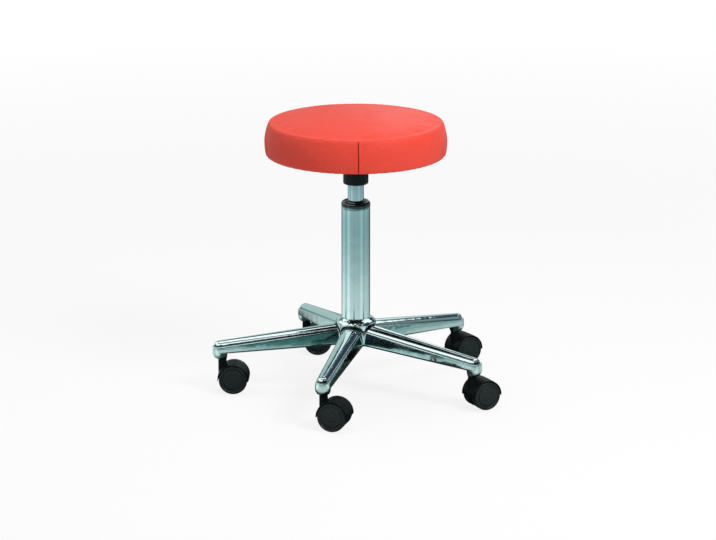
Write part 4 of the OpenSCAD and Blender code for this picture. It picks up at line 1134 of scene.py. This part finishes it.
def neckSurface(settings):
    # a sleeve round the stem whose foot flares out to meet the hood: the flare is widest at the trailing side
    neck, top, hole, hood, trail = valuesOf(settings, "neck neckTop stemHole hood trail")
    angle = fullTurn(72)
    flare = settings["neckFlare"] * (1 + np.cos(angle)) / 2 + 0.15
    u = np.radians(np.linspace(90, 0, 10))[:, None]
    radius = neck + flare * (1 - np.cos(u))
    onHood = np.sqrt(np.maximum((hood - 0.25) ** 2 - (radius * np.cos(angle) - trail) ** 2, 0))
    height = settings["axleHeight"] + onHood - 0.4 + flare * 1.4 * (1 - np.sin(u))
    high = np.array([[neck, top - 3.4], [neck, top - 3.0], [neck - 0.5, top - 2.6], [neck - 0.5, top - 2.0],
                     [neck, top - 1.6], [neck, top - 0.6], [neck - 0.2, top - 0.15], [neck - 0.7, top],
                     [hole + 0.5, top], [hole, top - 0.5], [hole, settings["neckLow"]]])
    radius = np.vstack([radius, high[:, :1] + 0 * angle])
    height = np.vstack([height, high[:, 1:] + 0 * angle])
    return onCircle(radius, angle, height).reshape(-1, 3), gridFaces(len(radius), len(angle), True, True)


# heights run along the axle, from the middle of the castor outwards
wheelOutline = dict(
    hub=((4.05, 6.3, 0.2), (8.0, 6.3, 0.3), (8.4, 18.0, 1.0), (21.2, 17.8, 1.0)),
    tread=((21.6, 8.1, 0.4), (25.0, 8.1, 0.9), (25.0, 21.5, 2.4), (21.9, 21.5, 0.3)),
    dish=((20.9, 19.9, 0.7), (17.2, 19.6, 0.3), (16.6, 20.7, 0.4), (15.6, 21.1, 0.5), (11.0, 21.0, 0.1)),
    ring=((9.6, 20.9, 0.1), (9.3, 20.6, 0.1), (8.7, 20.6, 0.1), (8.4, 20.9, 0.1), (6.3, 21.0, 0.3)),
    cap=((5.6, 21.1, 0.2), (0.01, 21.2, 0.01), (0.01, 16.0, 0.01), (4.05, 16.0, 0.2)))
rib = dict(count=6, start=7.8, end=21.6, thick=0.55, flare=0.25, low=9.0, arch=1.2, high=18.2)


def ribSurface(settings):
    # plates from the wheel's hub to its tread, thicker by flare (2t - 1)^2 and arched by sin(pi t) underneath
    count, thick, high = valuesOf(settings, "count thick high")
    t = np.linspace(0, 1, 6)[:, None]
    half = thick + settings["flare"] * (2 * t - 1) ** 2
    low = settings["low"] + settings["arch"] * np.sin(math.pi * t)
    reach, top = mix(settings["start"], settings["end"], t), high + 0 * t
    corners = [np.hstack(four) for four in ([reach] * 4, [-half, half, half, -half], [low, low, top, top])]
    points = np.stack(corners, -1).reshape(-1, 3)
    return repeated(points, gridFaces(6, 4, False, True), turnZ(fullTurn(count)), np.zeros((count, 3)))


def wheelSurface(settings, side):
    # the turned wheel: tread, dished face with two raised rings and a cap, an open back with hub and ribs
    points, faces = joined([revolved(turnedOutline(wheelOutline), 120, loop=True), ribSurface(rib)])
    forward, upward, outward = points.T
    points = np.stack([settings["trail"] + forward, side * outward, settings["axleHeight"] + upward], 1)
    return points, faces


def makeCastors(settings):
    for k in range(5):
        n = k + 1
        points, faces = joined([hoodSurface(settings), webSurface(settings), neckSurface(settings)])
        surface = atStem(points, k), faces
        housing = newPiece(f"castorHousing{n}", surface, finishes["black_plastic"], sharpAngle=50)
        finishPiece(housing, f"castor_{n}", "black_plastic", f"castor_{n}_housing")
        for side, word in ((1, "left"), (-1, "right")):
            points, faces = wheelSurface(settings, side)
            surface = atStem(points, k), faces
            wheel = newPiece(f"castorWheel{word.title()}{n}", surface, finishes["wheel_plastic"])
            finishPiece(wheel, f"castor_{n}_{word}", "wheel_plastic", f"castor_{n}_wheel_{word}")


makeCastors(castor)
print("castors made")


# camera and surroundings; the camera's place, farFrom and farTo are in metres

view = dict(distance=5.4104, height=1.6872, side=0.0038, pitch=15.22, lens=161.2, film=36.0)
camera = bpy.data.objects.new("camera", bpy.data.cameras.new("camera"))
camera.data.sensor_width, camera.data.lens = view["film"], view["lens"]
camera.data.clip_end = 60
camera.location = (view["side"], -view["distance"], view["height"])
camera.rotation_euler = (math.radians(90 - view["pitch"]), 0, 0)
scene.collection.objects.link(camera)
scene.camera = camera

studio = dict(floorColour=0.80, background=1.0, ambient=0.31, keep=0.16, farFrom=1.2, farTo=3.2,
              floorDrop=0.4, floorRings=(0.0, 600, 1500, 4000, 14000))


def emptyMaterial(name):
    # a material with nothing but its output, whose surface is still to be joined
    material = bpy.data.materials.new(name)
    material.use_nodes = True
    tree = material.node_tree
    tree.nodes.clear()
    surface = addNode(tree, "ShaderNodeOutputMaterial").inputs["Surface"]
    return material, tree, surface, addNode(tree, "ShaderNodeTexCoord").outputs["Object"]


def makeFloor(settings):
    # plain to everything but the camera, which sees it go over to the background's white with distance
    material, tree, surface, place = emptyMaterial("paleFloor")
    base = addNode(tree, "ShaderNodeBsdfDiffuse", {"Color": (settings["floorColour"],) * 3 + (1,)})
    white = addNode(tree, "ShaderNodeEmission", {"Color": (1, 1, 1, 1), "Strength": settings["background"]})
    radius = addNode(tree, "ShaderNodeVectorMath", {0: place}, operation="LENGTH").outputs["Value"]
    far = mapRange(tree, radius, settings["farFrom"], settings["farTo"], 1 - settings["keep"], 1.0)
    seen = addNode(tree, "ShaderNodeLightPath").outputs["Is Camera Ray"]
    share = mathNode(tree, "MULTIPLY", far, seen)
    mixed = addNode(tree, "ShaderNodeMixShader", {0: share, 1: base.outputs[0], 2: white.outputs[0]})
    tree.links.new(mixed.outputs[0], surface)
    rings = [[ring, -settings["floorDrop"]] for ring in settings["floorRings"]]
    newPiece("studioFloor", revolved(rings), material)


def makeWorld(settings):
    world = bpy.data.worlds.new("studioAir")
    world.use_nodes = True
    tree = world.node_tree
    tree.nodes.clear()
    out = addNode(tree, "ShaderNodeOutputWorld")
    path = addNode(tree, "ShaderNodeLightPath").outputs
    seen = mathNode(tree, "MAXIMUM", mathNode(tree, "MAXIMUM", path["Is Camera Ray"], path["Is Glossy Ray"]),
                    path["Is Transmission Ray"])
    air = addNode(tree, "ShaderNodeBackground", {"Color": (1, 1, 1, 1), "Strength": settings["ambient"]})
    white = addNode(tree, "ShaderNodeBackground", {"Color": (1, 1, 1, 1), "Strength": settings["background"]})
    mixed = addNode(tree, "ShaderNodeMixShader", {0: seen, 1: air.outputs[0], 2: white.outputs[0]})
    tree.links.new(mixed.outputs[0], out.inputs["Surface"])
    scene.world = world


# what polished metal and plastic see: a dome and a floor that only mirrored rays meet. The dome's colour
# hangs on the elevation in degrees, as stops for the half in front and the half behind, with patches: the
# azimuth of the middle from +Y towards +X, half the width, the lowest and the highest elevation, the colour.
# The floor's colour hangs on the distance in metres, times a brightness for each azimuth from -Y towards +X.
mirrored = dict(
    radius=2600.0, floorHeight=0.5, blendFrom=-0.35, blendTo=0.55, patchBlur=1.0,
    front=((0, (0.085, 0.23, 0.21)), (3, (0.05, 0.15, 0.14)), (8, (0.008, 0.012, 0.014)),
           (40, (0.008, 0.012, 0.014)), (45, (0.20, 0.22, 0.27)), (72, (0.24, 0.26, 0.31)),
           (77, (1.6, 1.6, 1.6))),
    back=((0, (0.54, 0.70, 0.69)), (12, (0.54, 0.70, 0.69)), (30, (0.50, 0.64, 0.64)),
          (36, (0.06, 0.09, 0.10)), (56, (0.06, 0.08, 0.10)), (61, (1.6, 1.6, 1.6))),
    floor=((0.0, (0.02, 0.04, 0.04)), (0.25, (0.03, 0.06, 0.06)), (0.34, (0.78, 0.90, 0.89)),
           (0.60, (0.74, 0.86, 0.86)), (0.80, (0.54, 0.69, 0.70)), (1.0, (0.38, 0.55, 0.56)),
           (1.2, (0.31, 0.48, 0.50)), (1.36, (0.44, 0.59, 0.62)), (1.5, (0.40, 0.55, 0.58)),
           (1.66, (0.11, 0.26, 0.24)), (2.6, (0.085, 0.23, 0.21))),
    sides=((-180, 0.10), (-146, 0.12), (-138, 1.0), (-126, 1.2), (-98, 1.2), (-90, 0.85), (-78, 0.85),
           (-70, 1.35), (-52, 1.35), (-44, 0.95), (-17, 0.92), (-13, 0.70), (-9, 0.92), (30, 0.85),
           (38, 1.1), (56, 1.1), (62, 0.72), (70, 0.70), (76, 0.90), (100, 0.85), (132, 0.60),
           (146, 0.12), (180, 0.10)),
    patches=((50, 26, 10, 38, (0.040, 0.060, 0.100)), (51, 24, 39, 62, (1.5, 1.5, 1.5)),
             (-3, 2.2, 8, 34, (0.03, 0.05, 0.055)), (6.2, 5, 18, 35, (1.4, 1.4, 1.4)),
             (125, 32, 12, 60, (0.030, 0.045, 0.080)), (-108, 64, 18, 54, (1.5, 1.5, 1.5)),
             (-118, 14, 8, 30, (1.5, 1.5, 1.5))))


def halved(colour):
    # a colour that reaches above 1 is held at half, and the emission's strength of 2 makes up for it
    return tuple(value / 2 for value in colour)


def ramp(tree, factor, stops, low, high):
    # straight steps between (place, colour) stops, place running from low to high
    node = addNode(tree, "ShaderNodeValToRGB", {"Fac": mapRange(tree, factor, low, high)})
    elements = node.color_ramp.elements
    elements.remove(elements[-1])
    for number, (place, colour) in enumerate(stops):
        at = (place - low) / (high - low)
        element = elements[0] if number == 0 else elements.new(at)
        element.position, element.color = at, (*halved(colour), 1)
    return node.outputs["Color"]


def degreesOf(tree, across, ahead):
    return mathNode(tree, "DEGREES", mathNode(tree, "ARCTAN2", across, ahead))


def glowingMaterial(name, strength):
    # an emission whose colour is still to be joined, with the place's parts and its distance from the axis
    material, tree, surface, place = emptyMaterial(name)
    light = addNode(tree, "ShaderNodeEmission", {"Strength": strength})
    tree.links.new(light.outputs[0], surface)
    part = addNode(tree, "ShaderNodeSeparateXYZ", {"Vector": place}).outputs
    squares = [mathNode(tree, "MULTIPLY", part[axis], part[axis]) for axis in "XY"]
    flat = mathNode(tree, "SQRT", mathNode(tree, "ADD", *squares))
    return material, tree, light.inputs["Color"], part, flat


def glossyOnly(name, surface, material):
    piece = newPiece(name, surface, material)
    piece.visible_camera = piece.visible_diffuse = piece.visible_shadow = piece.visible_transmission = False
    piece.visible_volume_scatter = False


def makeSky(settings):
    radius, low, blur = valuesOf(settings, "radius floorHeight patchBlur")
    material, tree, colour, part, flat = glowingMaterial("mirroredSky", 2.0)
    height = degreesOf(tree, part["Z"], flat)
    backwards = mathNode(tree, "DIVIDE", part["Y"], flat)
    behind = mapRange(tree, backwards, settings["blendFrom"], settings["blendTo"])
    front, back = (ramp(tree, height, settings[half], 0, 90) for half in ("front", "back"))
    sky = mixColour(tree, behind, front, back)
    turn = degreesOf(tree, part["X"], part["Y"])
    for azimuth, halfWide, lowest, highest, shade in settings["patches"]:
        masks = []
        upright = height, (lowest + highest) / 2, (highest - lowest) / 2
        for value, middle, half in ((turn, azimuth, halfWide), upright):
            away = mathNode(tree, "ABSOLUTE", mathNode(tree, "SUBTRACT", value, middle))
            masks.append(mapRange(tree, away, half + blur, half - blur))
        sky = mixColour(tree, mathNode(tree, "MULTIPLY", *masks), sky, halved(shade))
    tree.links.new(sky, colour)
    angle = np.radians(np.linspace(0, 90, 24))
    dome = np.stack([radius * np.cos(angle), low + radius * np.sin(angle)], 1)
    glossyOnly("mirroredSky", revolved(dome), material)


def makeMirroredFloor(settings):
    # two ramps are multiplied, so the emission's strength doubles twice
    radius, low = valuesOf(settings, "radius floorHeight")
    material, tree, colour, part, flat = glowingMaterial("mirroredFloor", 4.0)
    turn = degreesOf(tree, part["X"], mathNode(tree, "MULTIPLY", part["Y"], -1.0))
    sides = ramp(tree, turn, [(place, (value,) * 3) for place, value in settings["sides"]], -180, 180)
    rings = ramp(tree, flat, settings["floor"], 0, settings["floor"][-1][0])
    tree.links.new(mixColour(tree, 1.0, rings, sides, "MULTIPLY"), colour)
    glossyOnly("mirroredFloor", revolved([[0.0, low], [600, low], [radius, low]]), material)


# lamps: place, target, width in metres and power in watts
lamps = {"keyLamp": ((1.7, -1.6, 2.3), (0, 0, 0.3), 1.3, 66),
         "topLamp": ((-0.2, 0.3, 2.6), (0, 0, 0.3), 1.6, 26),
         "fillLamp": ((-2.2, -1.2, 1.5), (0, 0, 0.3), 1.2, 5)}


def makeLamp(name, place, target, size, power):
    lamp = bpy.data.objects.new(name, bpy.data.lights.new(name, "AREA"))
    lamp.data.shape, lamp.data.size, lamp.data.energy = "DISK", size, power
    ahead = np.array(target) - np.array(place)
    flat = math.hypot(ahead[0], ahead[1])
    lamp.location = place
    lamp.rotation_euler = (math.atan2(flat, -ahead[2]), 0, math.atan2(ahead[1], ahead[0]) - math.pi / 2)
    lamp.visible_camera = False
    scene.collection.objects.link(lamp)


# the photo's chrome shows white where the seat would be mirrored, so polished metal sees past the seat
for unseen in ("seatCushion", "seatPiping", "dustCloth"):
    bpy.data.objects[unseen].visible_glossy = False
makeFloor(studio)
makeWorld(studio)
makeSky(mirrored)
makeMirroredFloor(mirrored)
for lampName, lampSettings in lamps.items():
    makeLamp(lampName, *lampSettings)
print("studio made")
